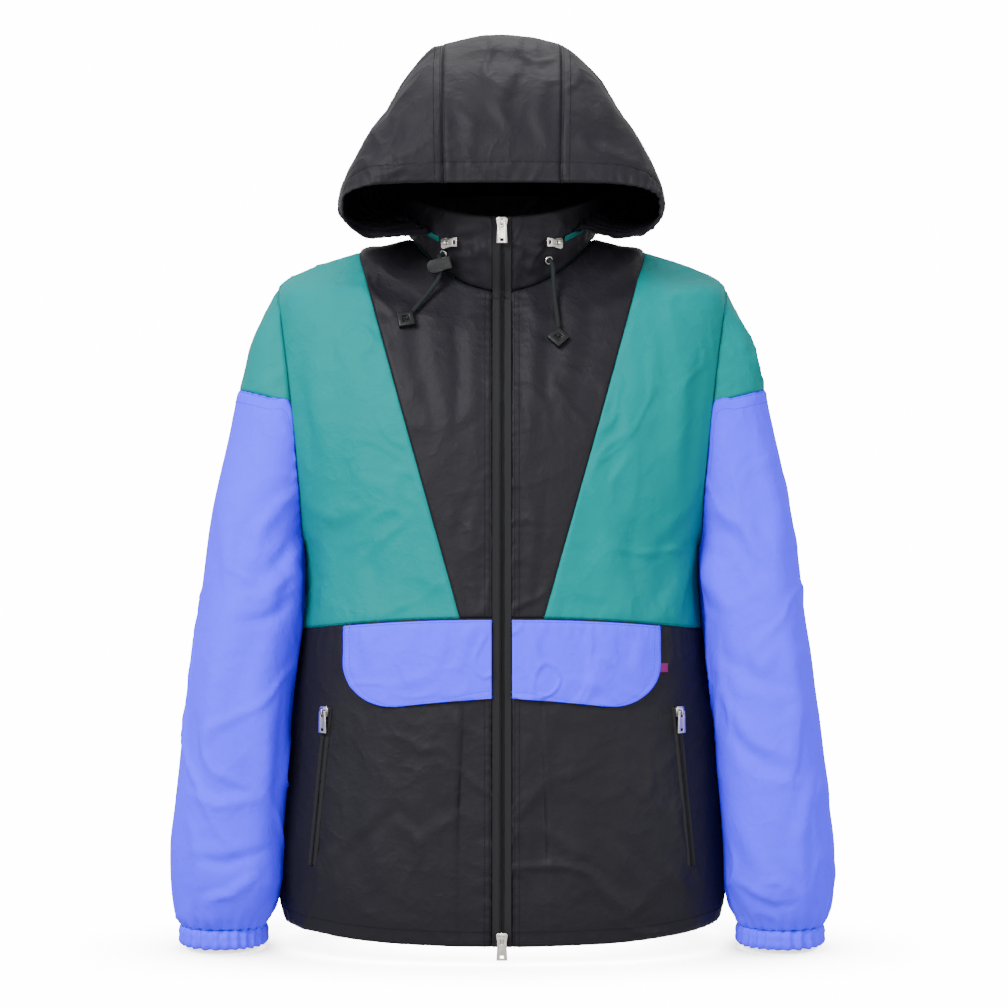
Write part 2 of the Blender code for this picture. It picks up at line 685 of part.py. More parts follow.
# ---- hard trim -----------------------------------------------------------------------------------------------
def prism(name, outline, near, far):
    """Closed solid: an outline in x and z, drawn anticlockwise from the front, between two depths in y."""
    count = len(outline)
    vertices = [(x, near, z) for x, z in outline] + [(x, far, z) for x, z in outline]
    faces = [tuple(range(count)), tuple(reversed(range(count, 2 * count)))]
    for index in range(count):
        following = (index + 1) % count
        faces.append((following, index, index + count, following + count))
    mesh = bpy.data.meshes.new(name)
    mesh.from_pydata(vertices, [], faces)
    return mesh


BODY_FRONT, BODY_BACK = 0.0014, 0.0044    # depths of a slider's body behind its pull's pivot
ARCH_WIDTH = 0.0022


def slider_mesh():
    """Zip slider: a body with flared shoulders, and an arch that traps the pull's bar. Pivot at the origin."""
    body = prism("slider_body", [(-0.0038, 0.0050), (-0.0055, 0.0030), (-0.0052, 0.0004), (-0.0041, -0.0050),
                                 (0.0041, -0.0050), (0.0052, 0.0004), (0.0055, 0.0030), (0.0038, 0.0050)],
                 BODY_FRONT, BODY_BACK)
    arch = [(0.0022, -0.0030), (-0.0012, -0.0030), (-0.0022, -0.0019), (-0.0022, 0.0019), (-0.0012, 0.0030),
            (0.0022, 0.0030), (0.0022, 0.0020), (-0.0007, 0.0020), (-0.0013, 0.0013), (-0.0013, -0.0013),
            (-0.0007, -0.0020), (0.0022, -0.0020)]
    half = ARCH_WIDTH / 2
    count = len(arch)
    vertices = [(-half, y, z) for y, z in arch] + [(half, y, z) for y, z in arch]
    faces = [tuple(range(count)), tuple(reversed(range(count, 2 * count)))]
    for index in range(count):
        following = (index + 1) % count
        faces.append((following, index, index + count, following + count))
    strap = bpy.data.meshes.new("slider_arch")
    strap.from_pydata(vertices, [], faces)
    return boolean_mesh("slider", body, strap, "UNION")


def boolean_mesh(name, first, second, operation):
    """The two closed meshes joined or cut, as one new mesh."""
    for mesh in (first, second):
        work = bmesh.new()
        work.from_mesh(mesh)
        bmesh.ops.recalc_face_normals(work, faces=work.faces)
        work.to_mesh(mesh)
        work.free()
    host = bpy.data.objects.new(name + "_host", first)
    tool = bpy.data.objects.new(name + "_tool", second)
    for made in (host, tool):
        bpy.context.scene.collection.objects.link(made)
    step = host.modifiers.new("join", "BOOLEAN")
    step.operation = operation
    step.object = tool
    graph = bpy.context.evaluated_depsgraph_get()
    result = bpy.data.meshes.new_from_object(host.evaluated_get(graph))
    result.name = name
    for made in (host, tool):
        bpy.data.objects.remove(made)
    return result


def pull_mesh(name, length, top_half, foot_half):
    """Flat pull: a bar through the slider's arch, two arms, a tongue and a slot near its foot."""
    rows = [0.0008, -0.0008, -0.0052, -(length - 0.0046), -(length - 0.0020), -length]
    hole = 0.0017
    vertices = []
    for z in rows:
        share = (0.0008 - z) / (0.0008 + length)
        half = mix(top_half, foot_half, share)
        vertices.append([(-half, z), (-hole, z), (hole, z), (half, z)])
    work = bmesh.new()
    grid = [[work.verts.new((x, -0.0007, z)) for x, z in line] for line in vertices]
    for row in range(len(rows) - 1):
        for column in range(3):
            if column == 1 and row in (1, 3):
                continue
            work.faces.new((grid[row + 1][column], grid[row + 1][column + 1],
                            grid[row][column + 1], grid[row][column]))
    swept = bmesh.ops.extrude_face_region(work, geom=work.faces[:])
    moved = [item for item in swept["geom"] if isinstance(item, bmesh.types.BMVert)]
    bmesh.ops.translate(work, verts=moved, vec=(0, 0.0014, 0))
    bmesh.ops.recalc_face_normals(work, faces=work.faces)
    mesh = bpy.data.meshes.new(name)
    work.to_mesh(mesh)
    work.free()
    return mesh


def torus_mesh(name, ring_radius, wire_radius, around, section):
    grid = [[Vector(((ring_radius + wire_radius * math.cos(turn)) * math.cos(angle),
                     wire_radius * math.sin(turn),
                     (ring_radius + wire_radius * math.cos(turn)) * math.sin(angle)))
             for turn in [2 * math.pi * step / section for step in range(section)]]
            for angle in [2 * math.pi * step / around for step in range(around)]]
    vertices = [point for line in grid for point in line]
    faces = []
    for row in range(around):
        for column in range(section):
            a, b = row * section + column, row * section + (column + 1) % section
            c, d = ((row + 1) % around) * section + (column + 1) % section, ((row + 1) % around) * section + column
            faces.append((a, b, c, d))
    mesh = bpy.data.meshes.new(name)
    mesh.from_pydata([tuple(vertex) for vertex in vertices], [], faces)
    work = bmesh.new()
    work.from_mesh(mesh)
    bmesh.ops.recalc_face_normals(work, faces=work.faces)
    work.to_mesh(mesh)
    work.free()
    return mesh


def facing(front, up_hint):
    """Rotation that turns -Y to a given direction and keeps +Z near the hint."""
    back = -front.normalized()
    side = back.cross(up_hint).normalized()
    return Matrix((side, back, side.cross(back))).transposed().to_4x4()


def placed(name, mesh, look, position, turn, flat=True):
    made = add_object(name, mesh, look, flat)
    made.matrix_world = Matrix.Translation(position) @ turn
    return made


# ---- drawcord -------------------------------------------------------------------------------------------------
EYELET_LEFT = (0.0448, -0.0245)     # x, z on the collar
EYELET_RIGHT = (0.0560, -0.0180)
CORD_LEFT = [                        # straight out of the eyelet, then down over the chest
    (0.0452, -0.0807, -0.0248), (0.0473, -0.0838, -0.0263), (0.0488, -0.0862, -0.0297),
    (0.0494, -0.0874, -0.0350), (0.0497, -0.0880, -0.0420), (0.0502, -0.0886, -0.0500),
    (0.0508, -0.0896, -0.0590), (0.0517, -0.0917, -0.0672), (0.0527, -0.0952, -0.0755),
    (0.0536, -0.0992, -0.0835), (0.0541, -0.1028, -0.0906), (0.0541, -0.1051, -0.0961),
    (0.0541, -0.1073, -0.1012),
]
CORD_RIGHT = [                       # out of the eyelet, down through the lock, then slanting outward
    (-0.0566, -0.0742, -0.0183), (-0.0588, -0.0763, -0.0194), (-0.0603, -0.0790, -0.0202),
    (-0.0606, -0.0818, -0.0212), (-0.0601, -0.0839, -0.0238), (-0.0600, -0.0842, -0.0300),
    (-0.0600, -0.0843, -0.0366), (-0.0615, -0.0847, -0.0430), (-0.0652, -0.0856, -0.0490),
    (-0.0700, -0.0868, -0.0555), (-0.0752, -0.0885, -0.0620), (-0.0805, -0.0907, -0.0683),
    (-0.0858, -0.0933, -0.0748), (-0.0889, -0.0953, -0.0789), (-0.0923, -0.0976, -0.0833),
]
LOCK_MIDDLE = (-0.0600, -0.0842, -0.0300)
LOCK_TILT = 14                       # degrees its inner end is raised
LOCK_BORE = 0.0033                   # radius of its bore, loose round the cord
END_SIDE = 0.0155                    # square cord ends
END_DEPTH = 0.0058
END_SLOT = 0.0058


def build_cord(name, route):
    curve = bpy.data.curves.new(name, "CURVE")
    curve.dimensions = "3D"
    curve.bevel_depth = CORD_DIAMETER / 2
    curve.bevel_resolution = 2
    curve.use_fill_caps = True
    line = curve.splines.new("POLY")
    line.points.add(len(route) - 1)
    for point, place in zip(line.points, route):
        point.co = (*place, 1.0)
    curve.materials.append(material("dark_cord", *LOOKS["dark_cord"]))
    made = bpy.data.objects.new(name, curve)
    bpy.context.scene.collection.objects.link(made)


def box_mesh(name, low, high):
    outline = [(low[0], low[2]), (low[0], high[2]), (high[0], high[2]), (high[0], low[2])]
    return prism(name, outline, low[1], high[1])


def end_mesh(name):
    """Square end of black plastic: a corner upward, with a slot from that corner to a square recess."""
    reach = END_SIDE / math.sqrt(2)
    small = 0.0022
    outline = [(-small, reach - small), (-reach + small, small), (-reach + small, -small), (-small, -reach + small),
               (small, -reach + small), (reach - small, -small), (reach - small, small), (small, reach - small)]
    body = prism(name + "_body", outline, -END_DEPTH / 2, END_DEPTH / 2)
    floor = CORD_DIAMETER / 2 + SEAM_GAP / 2
    half = END_SLOT / 2
    slot = box_mesh(name + "_slot", (-half, -END_DEPTH, -half), (half, floor, reach * 1.2))
    return boolean_mesh(name, body, slot, "DIFFERENCE")


def lock_mesh():
    """Spring lock: a round-ended case, a ridged button, and a bore for the cord."""
    case = [(0.0020, -0.0065), (0.0020, 0.0065), (-0.0080, 0.0062), (-0.0112, 0.0042), (-0.0124, 0.0012),
            (-0.0122, -0.0022), (-0.0106, -0.0050), (-0.0075, -0.0065)]
    ridges = []
    for x in (0.0034, 0.0056, 0.0078, 0.0100):
        ridges += [(x - 0.0010, 0.0052), (x - 0.0006, 0.0060), (x + 0.0004, 0.0060), (x + 0.0008, 0.0052)]
    button = ridges + [(0.0108, 0.0044), (0.0108, -0.0044)] + [(x, -z) for x, z in reversed(ridges)]
    tilt = math.radians(LOCK_TILT)
    outline = [case[1]] + button + [case[0]] + list(reversed(case[2:]))
    turned = [(x * math.cos(tilt) - z * math.sin(tilt), x * math.sin(tilt) + z * math.cos(tilt))
              for x, z in reversed(outline)]
    body = prism("cord_lock_body", turned, -0.0052, 0.0052)
    bore = [(LOCK_BORE * math.cos(turn), LOCK_BORE * math.sin(turn)) for turn in
            [2 * math.pi * step / 14 for step in range(14)]]
    vertices = [(x, y, z) for z in (-0.02, 0.02) for x, y in bore]
    count = len(bore)
    faces = [tuple(range(count)), tuple(range(count, 2 * count))]
    faces += [(step, (step + 1) % count, (step + 1) % count + count, step + count) for step in range(count)]
    tool = bpy.data.meshes.new("cord_lock_bore")
    tool.from_pydata(vertices, [], faces)
    return boolean_mesh("cord_lock", body, tool, "DIFFERENCE")


PULL_LENGTH = 0.0205
SHORT_PULL = 0.0160


def build_hardware():
    slider = slider_mesh()
    long_pull = pull_mesh("pull", PULL_LENGTH, 0.0042, 0.0052)
    short_pull = pull_mesh("pull_short", SHORT_PULL, 0.0036, 0.0044)
    upright = Matrix.Identity(4)
    clear = BODY_BACK + SEAM_GAP + 0.0005
    for stem, z in (("top", SLIDER_TOP_Z), ("bottom", SLIDER_FOOT_Z)):
        place = Vector((0, min(front_line(z + 0.005), front_line(z - 0.005)) - clear, z))
        placed("zip_slider_" + stem, slider.copy(), "nickel", place, upright)
        placed("zip_pull_" + stem, long_pull.copy(), "nickel", place, upright)
    start, normal = on_ring(TORSO, 3, 8, POCKET_TOP[0] + 0.0006, POCKET_TOP[1] - 0.004)
    away = Vector((normal.x, normal.y, 0)).normalized()
    for side in (1, -1):
        front = flip(away, side)
        place = flip(start, side) + front * (BODY_BACK + LAYER_GAP + 0.0012 + 0.0008)
        turn = facing(front, Vector((0, 0, 1)))
        placed(side_name("pocket_slider", side), slider.copy(), "nickel", place, turn)
        placed(side_name("pocket_pull", side), long_pull.copy(), "nickel", place, turn)
    start, normal = on_ring(COLLAR, 0, 2, 0.0530, -0.0085)
    away = Vector((normal.x, normal.y, 0)).normalized()
    for side in (1, -1):
        front = flip(away, side)
        place = flip(start, side) + front * (clear - 0.0002)
        along = Vector((side * -front.y, side * front.x, 0))
        turn = facing(front, along)
        placed(side_name("hood_slider", side), slider.copy(), "nickel", place, turn)
        placed(side_name("hood_pull", side), short_pull.copy(), "nickel", place, turn)
    for side, spot in ((1, EYELET_LEFT), (-1, EYELET_RIGHT)):
        point, normal = on_ring(COLLAR, 0, 2, *spot)
        ring = torus_mesh("eyelet", 0.0035, 0.0009, 16, 6)
        place = flip(point + normal * (0.0009 + SEAM_GAP), side)
        placed(side_name("eyelet", side), ring, "nickel", place, facing(flip(normal, side), Vector((0, 0, 1))), False)
    build_cord("cord_left", CORD_LEFT)
    build_cord("cord_right", CORD_RIGHT)
    placed("cord_lock", lock_mesh(), "black_plastic", Vector(LOCK_MIDDLE), Matrix.Identity(4))
    for side, route in ((1, CORD_LEFT), (-1, CORD_RIGHT)):
        tip = Vector(route[-1])
        along = (Vector(route[-3]) - tip).normalized()
        across = Vector((0, -0.91, 0.415))
        front = (across - along * across.dot(along)).normalized()
        placed(side_name("cord_end", side), end_mesh(side_name("cord_end", side)), "black_plastic",
               tip, facing(front, along))


def build_trim():
    build_chain()
    for side in (1, -1):
        def turned(grid):
            return [[(flip(point, side), flip(normal, side)) for point, normal in line] for line in grid]
        plate(side_name("flap", side), turned(flap_grid()), CLOTH, "violet_nylon")
        plate(side_name("pocket_zip", side), turned(pocket_grid()), 0.0012, "black_tape")
    plate("side_tab", tab_grid(), 0.0010, "plum_label")
    plate("hood_zip", hood_zip_grid(), 0.0012, "teal_tape")


def main():
    for old in list(bpy.data.objects):
        bpy.data.objects.remove(old, do_unlink=True)
    pieces = cloth_pieces()
    for side in (1, -1):
        tape = [[flip(point, side) for point in line] for line in tape_grid()]
        pieces.append(Piece(side_name("zip_tape", side), "black_tape", tape, (0.0, 0.0, None)))
    build_cloth(pieces)
    build_trim()
    build_hardware()


main()
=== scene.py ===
import math
from collections import namedtuple

import bmesh
import bpy
import numpy as np
from mathutils import Matrix, Vector, noise


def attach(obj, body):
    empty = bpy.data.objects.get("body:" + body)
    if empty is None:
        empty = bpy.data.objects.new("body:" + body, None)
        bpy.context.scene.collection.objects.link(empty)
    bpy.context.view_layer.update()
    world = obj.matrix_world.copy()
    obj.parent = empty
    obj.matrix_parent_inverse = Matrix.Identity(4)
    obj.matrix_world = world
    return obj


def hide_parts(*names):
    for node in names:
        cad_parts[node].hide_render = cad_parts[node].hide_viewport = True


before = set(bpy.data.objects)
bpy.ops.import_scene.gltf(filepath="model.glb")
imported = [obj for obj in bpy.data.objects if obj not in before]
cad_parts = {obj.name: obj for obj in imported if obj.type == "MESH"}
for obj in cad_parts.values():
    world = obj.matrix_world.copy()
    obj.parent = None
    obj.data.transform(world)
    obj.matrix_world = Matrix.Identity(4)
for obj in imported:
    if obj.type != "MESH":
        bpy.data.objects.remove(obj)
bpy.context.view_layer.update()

# ---- studio ------------------------------------------------------------------------------------------------
# The jacket stands filled out on a plain white floor, seen straight from the front with a long lens.
# A large soft light on the wearer's right, weaker ones opposite and in front and one above light the cloth. The floor
# glows evenly, and the faint shadow on it under the cloth is painted shade.
camera = bpy.data.objects.new("camera", bpy.data.cameras.new("camera"))
camera.location = (0.002, -2.6, -0.261)
camera.rotation_euler = (math.radians(90), 0, 0)
camera.data.lens = 92.86
camera.data.sensor_width = 36
camera.data.clip_end = 60
bpy.context.scene.collection.objects.link(camera)
bpy.context.scene.camera = camera



def glowing_white(name, painted_contact_shadow):
    """Paper white glow for the camera alone. Where the floor runs close under the cloth, ambient occlusion dims its
    glow: a painted contact shadow, not a cast one.
    """
    made = bpy.data.materials.new(name)
    made.use_nodes = True
    nodes, links = made.node_tree.nodes, made.node_tree.links
    nodes.clear()
    glow = nodes.new("ShaderNodeEmission")
    glow.inputs["Strength"].default_value = 15.5
    done = nodes.new("ShaderNodeOutputMaterial")
    links.new(glow.outputs["Emission"], done.inputs["Surface"])
    if painted_contact_shadow:
        # painted shadow: the floor's glow drops where cloth is close above it
        near = nodes.new("ShaderNodeAmbientOcclusion")
        near.inputs["Distance"].default_value = 0.14
        near.samples = 8
        dim = nodes.new("ShaderNodeMapRange")
        dim.inputs["From Min"].default_value = 0.25
        dim.inputs["From Max"].default_value = 0.97
        dim.inputs["To Min"].default_value = 1.2
        dim.inputs["To Max"].default_value = 15.5
        links.new(near.outputs["AO"], dim.inputs["Value"])
        links.new(dim.outputs["Result"], glow.inputs["Strength"])
    return made


def studio_sheet(name, corners, faces, look):
    sheet_mesh = bpy.data.meshes.new(name)
    sheet_mesh.from_pydata(corners, [], faces)
    sheet_mesh.materials.append(look)
    made = bpy.data.objects.new(name, sheet_mesh)
    made.visible_diffuse = made.visible_glossy = made.visible_transmission = made.visible_shadow = False
    bpy.context.scene.collection.objects.link(made)


FLOOR = -0.6955
# the floor sheet glows evenly except for a painted contact shadow under the cloth
studio_sheet("floor", [(-14, -14, FLOOR), (14, -14, FLOOR), (14, 14, FLOOR), (-14, 14, FLOOR)], [(0, 1, 2, 3)],
             glowing_white("floor_white_painted_shadow", True))
ring = [(13 * math.cos(math.radians(turn)), 13 * math.sin(math.radians(turn))) for turn in range(0, 360, 30)]
studio_sheet("backdrop", [(x, y, FLOOR) for x, y in ring] + [(x, y, 16) for x, y in ring],
             [(step, (step + 1) % 12, (step + 1) % 12 + 12, step + 12) for step in range(12)] + [tuple(range(23, 11, -1))],
             glowing_white("backdrop_white", False))

world = bpy.data.worlds.new("studio_air")
world.use_nodes = True
world.node_tree.nodes["Background"].inputs["Color"].default_value = (1.0, 1.0, 1.0, 1)
world.node_tree.nodes["Background"].inputs["Strength"].default_value = 1.45
bpy.context.scene.world = world

for light_name, place, size, power in (
        ("key_light", (-1.7, -2.3, 1.5), 1.7, 290),
        ("fill_light", (2.1, -2.0, 0.3), 1.8, 62),
        ("front_light", (0.0, -2.9, 0.02), 0.7, 26),
        ("top_light", (0.0, 0.6, 2.6), 2.0, 80)):
    lamp = bpy.data.lights.new(light_name, "AREA")
    lamp.shape = "DISK"
    lamp.size = size
    lamp.energy = power
    lit = bpy.data.objects.new(light_name, lamp)
    lit.location = place
    lit.rotation_euler = (Vector((0, 0, -0.28)) - Vector(place)).to_track_quat("-Z", "Y").to_euler()
    bpy.context.scene.collection.objects.link(lit)


# ---- back of the body -----------------------------------------------------------------------------------------
# The back is two panels, teal above and black below, joined at the waist seam and double stitched there.
# Both lie on the garment's rings: level 0 is the hem, 7 the waist seam, 14 the shoulder tip and 17 the neck seam.
CLOTH = 0.0014            # thickness of a cloth wall in the plain form
LAYER_GAP = 0.0006
TAPE_IN = 0.0029          # inner edge of each zip tape, from the centre line
TAPE_OUT = 0.0090         # outer edge of each zip tape, where the front panel begins
Ring = namedtuple("Ring", "side_x side_z front_y front_z back_y back_z square")
TORSO = [
    Ring(0.2180, -0.6680, -0.1480, -0.6790, 0.1380, -0.6740, 2.5),   # 0 hem
    Ring(0.2235, -0.6450, -0.1510, -0.6520, 0.1400, -0.6480, 2.5),
    Ring(0.2245, -0.6100, -0.1520, -0.6150, 0.1400, -0.6120, 2.5),
    Ring(0.2215, -0.5640, -0.1515, -0.5650, 0.1385, -0.5650, 2.5),
    Ring(0.2165, -0.5150, -0.1500, -0.5130, 0.1360, -0.5150, 2.45),
    Ring(0.2105, -0.4630, -0.1480, -0.4560, 0.1320, -0.4630, 2.4),
    Ring(0.2040, -0.4150, -0.1455, -0.4030, 0.1280, -0.4150, 2.4),
    Ring(0.2000, -0.3840, -0.1430, -0.3690, 0.1260, -0.3840, 2.4),   # 7 waist seam
    Ring(0.1975, -0.3520, -0.1415, -0.3350, 0.1250, -0.3520, 2.4),
    Ring(0.1970, -0.3200, -0.1400, -0.3000, 0.1250, -0.3200, 2.4),   # 9 underarm
    Ring(0.2060, -0.2750, -0.1380, -0.2580, 0.1275, -0.2750, 2.45),
    Ring(0.2150, -0.2250, -0.1350, -0.2160, 0.1300, -0.2250, 2.5),
    Ring(0.2220, -0.1600, -0.1290, -0.1700, 0.1320, -0.1650, 2.5),   # 12 cap seam
    Ring(0.2260, -0.1000, -0.1180, -0.1350, 0.1280, -0.1180, 2.45),
    Ring(0.2240, -0.0470, -0.1060, -0.1060, 0.1180, -0.0800, 2.4),   # 14 shoulder tip
    Ring(0.1960, -0.0270, -0.0980, -0.0880, 0.1080, -0.0480, 2.3),
    Ring(0.1420, -0.0090, -0.0900, -0.0720, 0.0950, -0.0150, 2.15),  # 16 yoke point
    Ring(0.0920, 0.0040, -0.0820, -0.0560, 0.0780, 0.0120, 2.0),     # 17 neck seam
]
HEM, WAIST, UNDERARM, CAP, TIP, YOKE, NECK = 0, 7, 9, 12, 14, 16, 17
COLLAR = [
    TORSO[NECK],
    Ring(0.0985, 0.0240, -0.0960, -0.0200, 0.0870, 0.0340, 2.0),
    Ring(0.1050, 0.0450, -0.0990, 0.0155, 0.0920, 0.0580, 2.0),
]


V_TOP = (0.142, -0.009)       # x, z where the wedge seam meets the shoulder seam
V_FOOT = (0.040, -0.369)      # x, z where it meets the waist seam


Armhole = namedtuple("Armhole", "level front_x back_x")
ARMHOLE = [
    Armhole(9, 0.1970, 0.1970), Armhole(9.6, 0.1966, 0.1960), Armhole(10.4, 0.1975, 0.1950),
    Armhole(11.2, 0.2010, 0.1975), Armhole(12, 0.2065, 0.2030), Armhole(12.7, 0.2115, 0.2090),
    Armhole(13.3, 0.2165, 0.2150), Armhole(13.7, 0.2205, 0.2195), Armhole(14, 0.2240, 0.2240),
]


def blend(rows, at):
    """Smooth curve through every column of a table, at a row number that may fall between two rows."""
    last = len(rows) - 1
    low = min(max(int(math.floor(at)), 0), last - 1)
    part = at - low
    before = np.array(rows[max(low - 1, 0)], float)
    start = np.array(rows[low], float)
    end = np.array(rows[low + 1], float)
    after = np.array(rows[min(low + 2, last)], float)
    leave = (end - before) / 2 if low > 0 else end - start
    arrive = (after - start) / 2 if low + 2 <= last else end - start
    squared, cubed = part * part, part ** 3
    values = (start * (2 * cubed - 3 * squared + 1) + leave * (cubed - 2 * squared + part)
              + end * (3 * squared - 2 * cubed) + arrive * (cubed - squared))
    return type(rows[0])(*values)


def ring_point(rows, at, angle):
    """Point on a ring: angle 0 is the front centre, 90 degrees the +X side, 180 degrees the back centre."""
    ring = blend(rows, at)
    sine, cosine = math.sin(angle), math.cos(angle)
    across = math.copysign(abs(sine) ** (2 / ring.square), sine)
    deep = abs(cosine) ** (2 / ring.square)
    end_y, end_z = (ring.front_y, ring.front_z) if cosine > 0 else (ring.back_y, ring.back_z)
    height = end_z + (ring.side_z - end_z) * sine * sine
    return Vector((ring.side_x * across, end_y * deep, height))


def angle_where(rows, at, reach, back=False):
    """The ring angle at which reach(point) is zero: it must grow from the centre line to the side."""
    low, high = (0.0, math.pi / 2)
    for _ in range(40):
        middle = (low + high) / 2
        point = ring_point(rows, at, math.pi - middle if back else middle)
        if reach(point) > 0:
            high = middle
        else:
            low = middle
    return math.pi - low if back else low


def front_edge_angle(rows, at):
    return angle_where(rows, at, lambda point: point.x - TAPE_OUT)


def wedge_angle(at):
    """The seam between the black wedge and the chest panel, straight when seen from the front."""
    if at >= YOKE:
        return math.pi / 2
    slope = (V_TOP[0] - V_FOOT[0]) / (V_TOP[1] - V_FOOT[1])
    return angle_where(TORSO, at, lambda point: point.x - V_FOOT[0] - (point.z - V_FOOT[1]) * slope)


def armhole_x(at, back):
    levels = [row.level for row in ARMHOLE]
    widths = [row.back_x if back else row.front_x for row in ARMHOLE]
    return float(np.interp(at, levels, widths))


def outer_angle(at, back):
    """Where a front or back panel ends at the side: side seam, then armhole, then shoulder seam."""
    if at <= UNDERARM or at >= TIP:
        return math.pi / 2
    return angle_where(TORSO, at, lambda point: point.x - armhole_x(at, back), back)


LOWER_ROWS = [0, 1, 2, 3, 4, 5, 6, 7]
SIDE_ROWS = [7, 8] + [row.level for row in ARMHOLE]
WEDGE_ROWS = [7, 8, 9, 10, 11, 12, 13, 14, 14.7, 15.4, 16]
NECK_ROWS = [16.5, 17]
WEDGE_COLUMNS = 5
CHEST_COLUMNS = 6
BACK_COLUMNS = 6
HOOD_SIDE_COLUMNS = 9
SLEEVE_ARC = 10               # columns of a sleeve over its outer half


def steps(count):
    return [step / count for step in range(count + 1)]


def mix(start, end, part):
    return start + (end - start) * part


def wedge_grid():
    """Black wedge: zip edge to wedge seam, waist seam to shoulder seam and neck seam."""
    grid = []
    for level in WEDGE_ROWS + NECK_ROWS:
        start, end = front_edge_angle(TORSO, level), wedge_angle(level)
        grid.append([ring_point(TORSO, level, mix(start, end, part)) for part in steps(WEDGE_COLUMNS)])
    return grid


def chest_grid():
    """Teal chest panel: wedge seam to side seam and armhole, waist seam to shoulder seam."""
    grid = []
    for left_level, right_level in zip(WEDGE_ROWS, SIDE_ROWS):
        left, right = wedge_angle(left_level), outer_angle(right_level, False)
        grid.append([ring_point(TORSO, mix(left_level, right_level, part), mix(left, right, part))
                     for part in steps(CHEST_COLUMNS)])
    return grid


def front_lower_grid():
    """Black front skirt: zip edge to side seam, hem to waist seam, with the columns of the panels above."""
    grid = []
    for level in LOWER_ROWS:
        start, turn, end = front_edge_angle(TORSO, level), wedge_angle(WAIST), math.pi / 2
        inner = [mix(start, turn, part) for part in steps(WEDGE_COLUMNS)]
        outer = [mix(turn, end, part) for part in steps(CHEST_COLUMNS)][1:]
        grid.append([ring_point(TORSO, level, angle) for angle in inner + outer])
    return grid


def back_grid(levels):
    """Whole back between two levels, from one side to the other."""
    grid = []
    for level in levels:
        edge = outer_angle(level, True)
        half = [ring_point(TORSO, level, mix(edge, math.pi, part)) for part in steps(BACK_COLUMNS)]
        grid.append(half + [mirrored(point) for point in reversed(half[:-1])])
    return grid


def shoulder_rows():
    """Levels of the chest panel's points along the shoulder seam, from the tip inward."""
    return [mix(TIP, YOKE, part) for part in steps(CHEST_COLUMNS)][1:]


def mirrored(point):
    return Vector((-point.x, point.y, point.z))


def flip(point, side):
    return Vector((point.x * side, point.y, point.z))


def side_name(stem, side):
    return stem + ("_left" if side > 0 else "_right")


def refine(grid, step, closed=False):
    """Smooth surface through a coarse grid of points, sampled about every step metres."""
    points = np.array([[tuple(point) for point in line] for line in grid], float)

    def along(values, wrap):
        around = np.concatenate([values, values[:1]]) if wrap else values
        lengths = np.linalg.norm(np.diff(around, axis=0), axis=2).mean(axis=1)
        travel = np.concatenate([[0.0], np.cumsum(lengths)])
        count = max(3, int(math.ceil(travel[-1] / step)) + 1)
        at = np.interp(np.linspace(0, travel[-1], count), travel, np.arange(len(travel)))
        if wrap:
            at = at[:-1]
            padded = np.concatenate([values[-1:], values, values[:2]])
        else:
            padded = np.concatenate([2 * values[:1] - values[1:2], values, 2 * values[-1:] - values[-2:-1]])
        low = np.minimum(at.astype(int), len(around) - 2)
        part = (at - low)[:, None, None]
        p0, p1, p2, p3 = (padded[low + shift] for shift in range(4))
        return p1 + part * (0.5 * (p2 - p0) + part * (p0 - 2.5 * p1 + 2 * p2 - 0.5 * p3
                            + part * (1.5 * (p1 - p2) + 0.5 * (p3 - p0))))

    fine = along(points, False)
    return np.swapaxes(along(np.swapaxes(fine, 0, 1), closed), 0, 1)


def facing_out(surface, core, closed=False):
    """Unit normals of a surface, pointing away from a point inside it (its height may be left out)."""
    if closed:
        wide = np.concatenate([surface[:, -1:], surface, surface[:, :1]], axis=1)
        across = (wide[:, 2:] - wide[:, :-2])
    else:
        across = np.gradient(surface, axis=1)
    normal = np.cross(across, np.gradient(surface, axis=0))
    normal /= np.maximum(np.linalg.norm(normal, axis=2, keepdims=True), 1e-12)
    inside = surface.copy()
    for axis in range(3):
        if core[axis] is not None:
            inside[..., axis] = core[axis]
    return normal if (normal * (surface - inside)).sum() > 0 else -normal


def edge_distances(surface):
    """Distance of every point from the first row, last row, first column and last column."""
    down = np.linalg.norm(np.diff(surface, axis=0), axis=2).cumsum(axis=0)
    down = np.concatenate([np.zeros((1, surface.shape[1])), down])
    right = np.linalg.norm(np.diff(surface, axis=1), axis=2).cumsum(axis=1)
    right = np.concatenate([np.zeros((surface.shape[0], 1)), right], axis=1)
    return down, down[-1:] - down, right, right[:, -1:] - right


def fold(surface, route, width, height, pair=0.55):
    """Soft ridge beside a shallower trough along a route in x and z, fading at both ends. A negative height is a
    trough beside a ridge."""
    x, z = surface[..., 0], surface[..., 2]
    nearest = np.full(x.shape, 1e9)
    beside = np.zeros(x.shape)
    along = np.zeros(x.shape)
    lengths = [math.dist(a, b) for a, b in zip(route, route[1:])]
    done = 0.0
    for (ax, az), (bx, bz), length in zip(route, route[1:], lengths):
        ux, uz = (bx - ax) / length, (bz - az) / length
        run = np.clip((x - ax) * ux + (z - az) * uz, 0, length)
        dx, dz = x - ax - ux * run, z - az - uz * run
        away = np.hypot(dx, dz)
        closer = away < nearest
        nearest = np.where(closer, away, nearest)
        beside = np.where(closer, np.sign(dx * uz - dz * ux) * away, beside)
        along = np.where(closer, done + run, along)
        done += length
    part = np.clip(along / sum(lengths), 0, 1)
    taper = np.sin(np.pi * np.clip(part, 0.02, 0.98)) ** 0.7
    tight = width * (0.55 + 0.45 * taper)
    ridge = np.exp(-(beside / tight) ** 2) - pair * np.exp(-((beside - 1.7 * tight) / (1.2 * tight)) ** 2)
    ridge = ridge * np.exp(-np.maximum(nearest - np.abs(beside), 0) / width)
    return height * taper * ridge


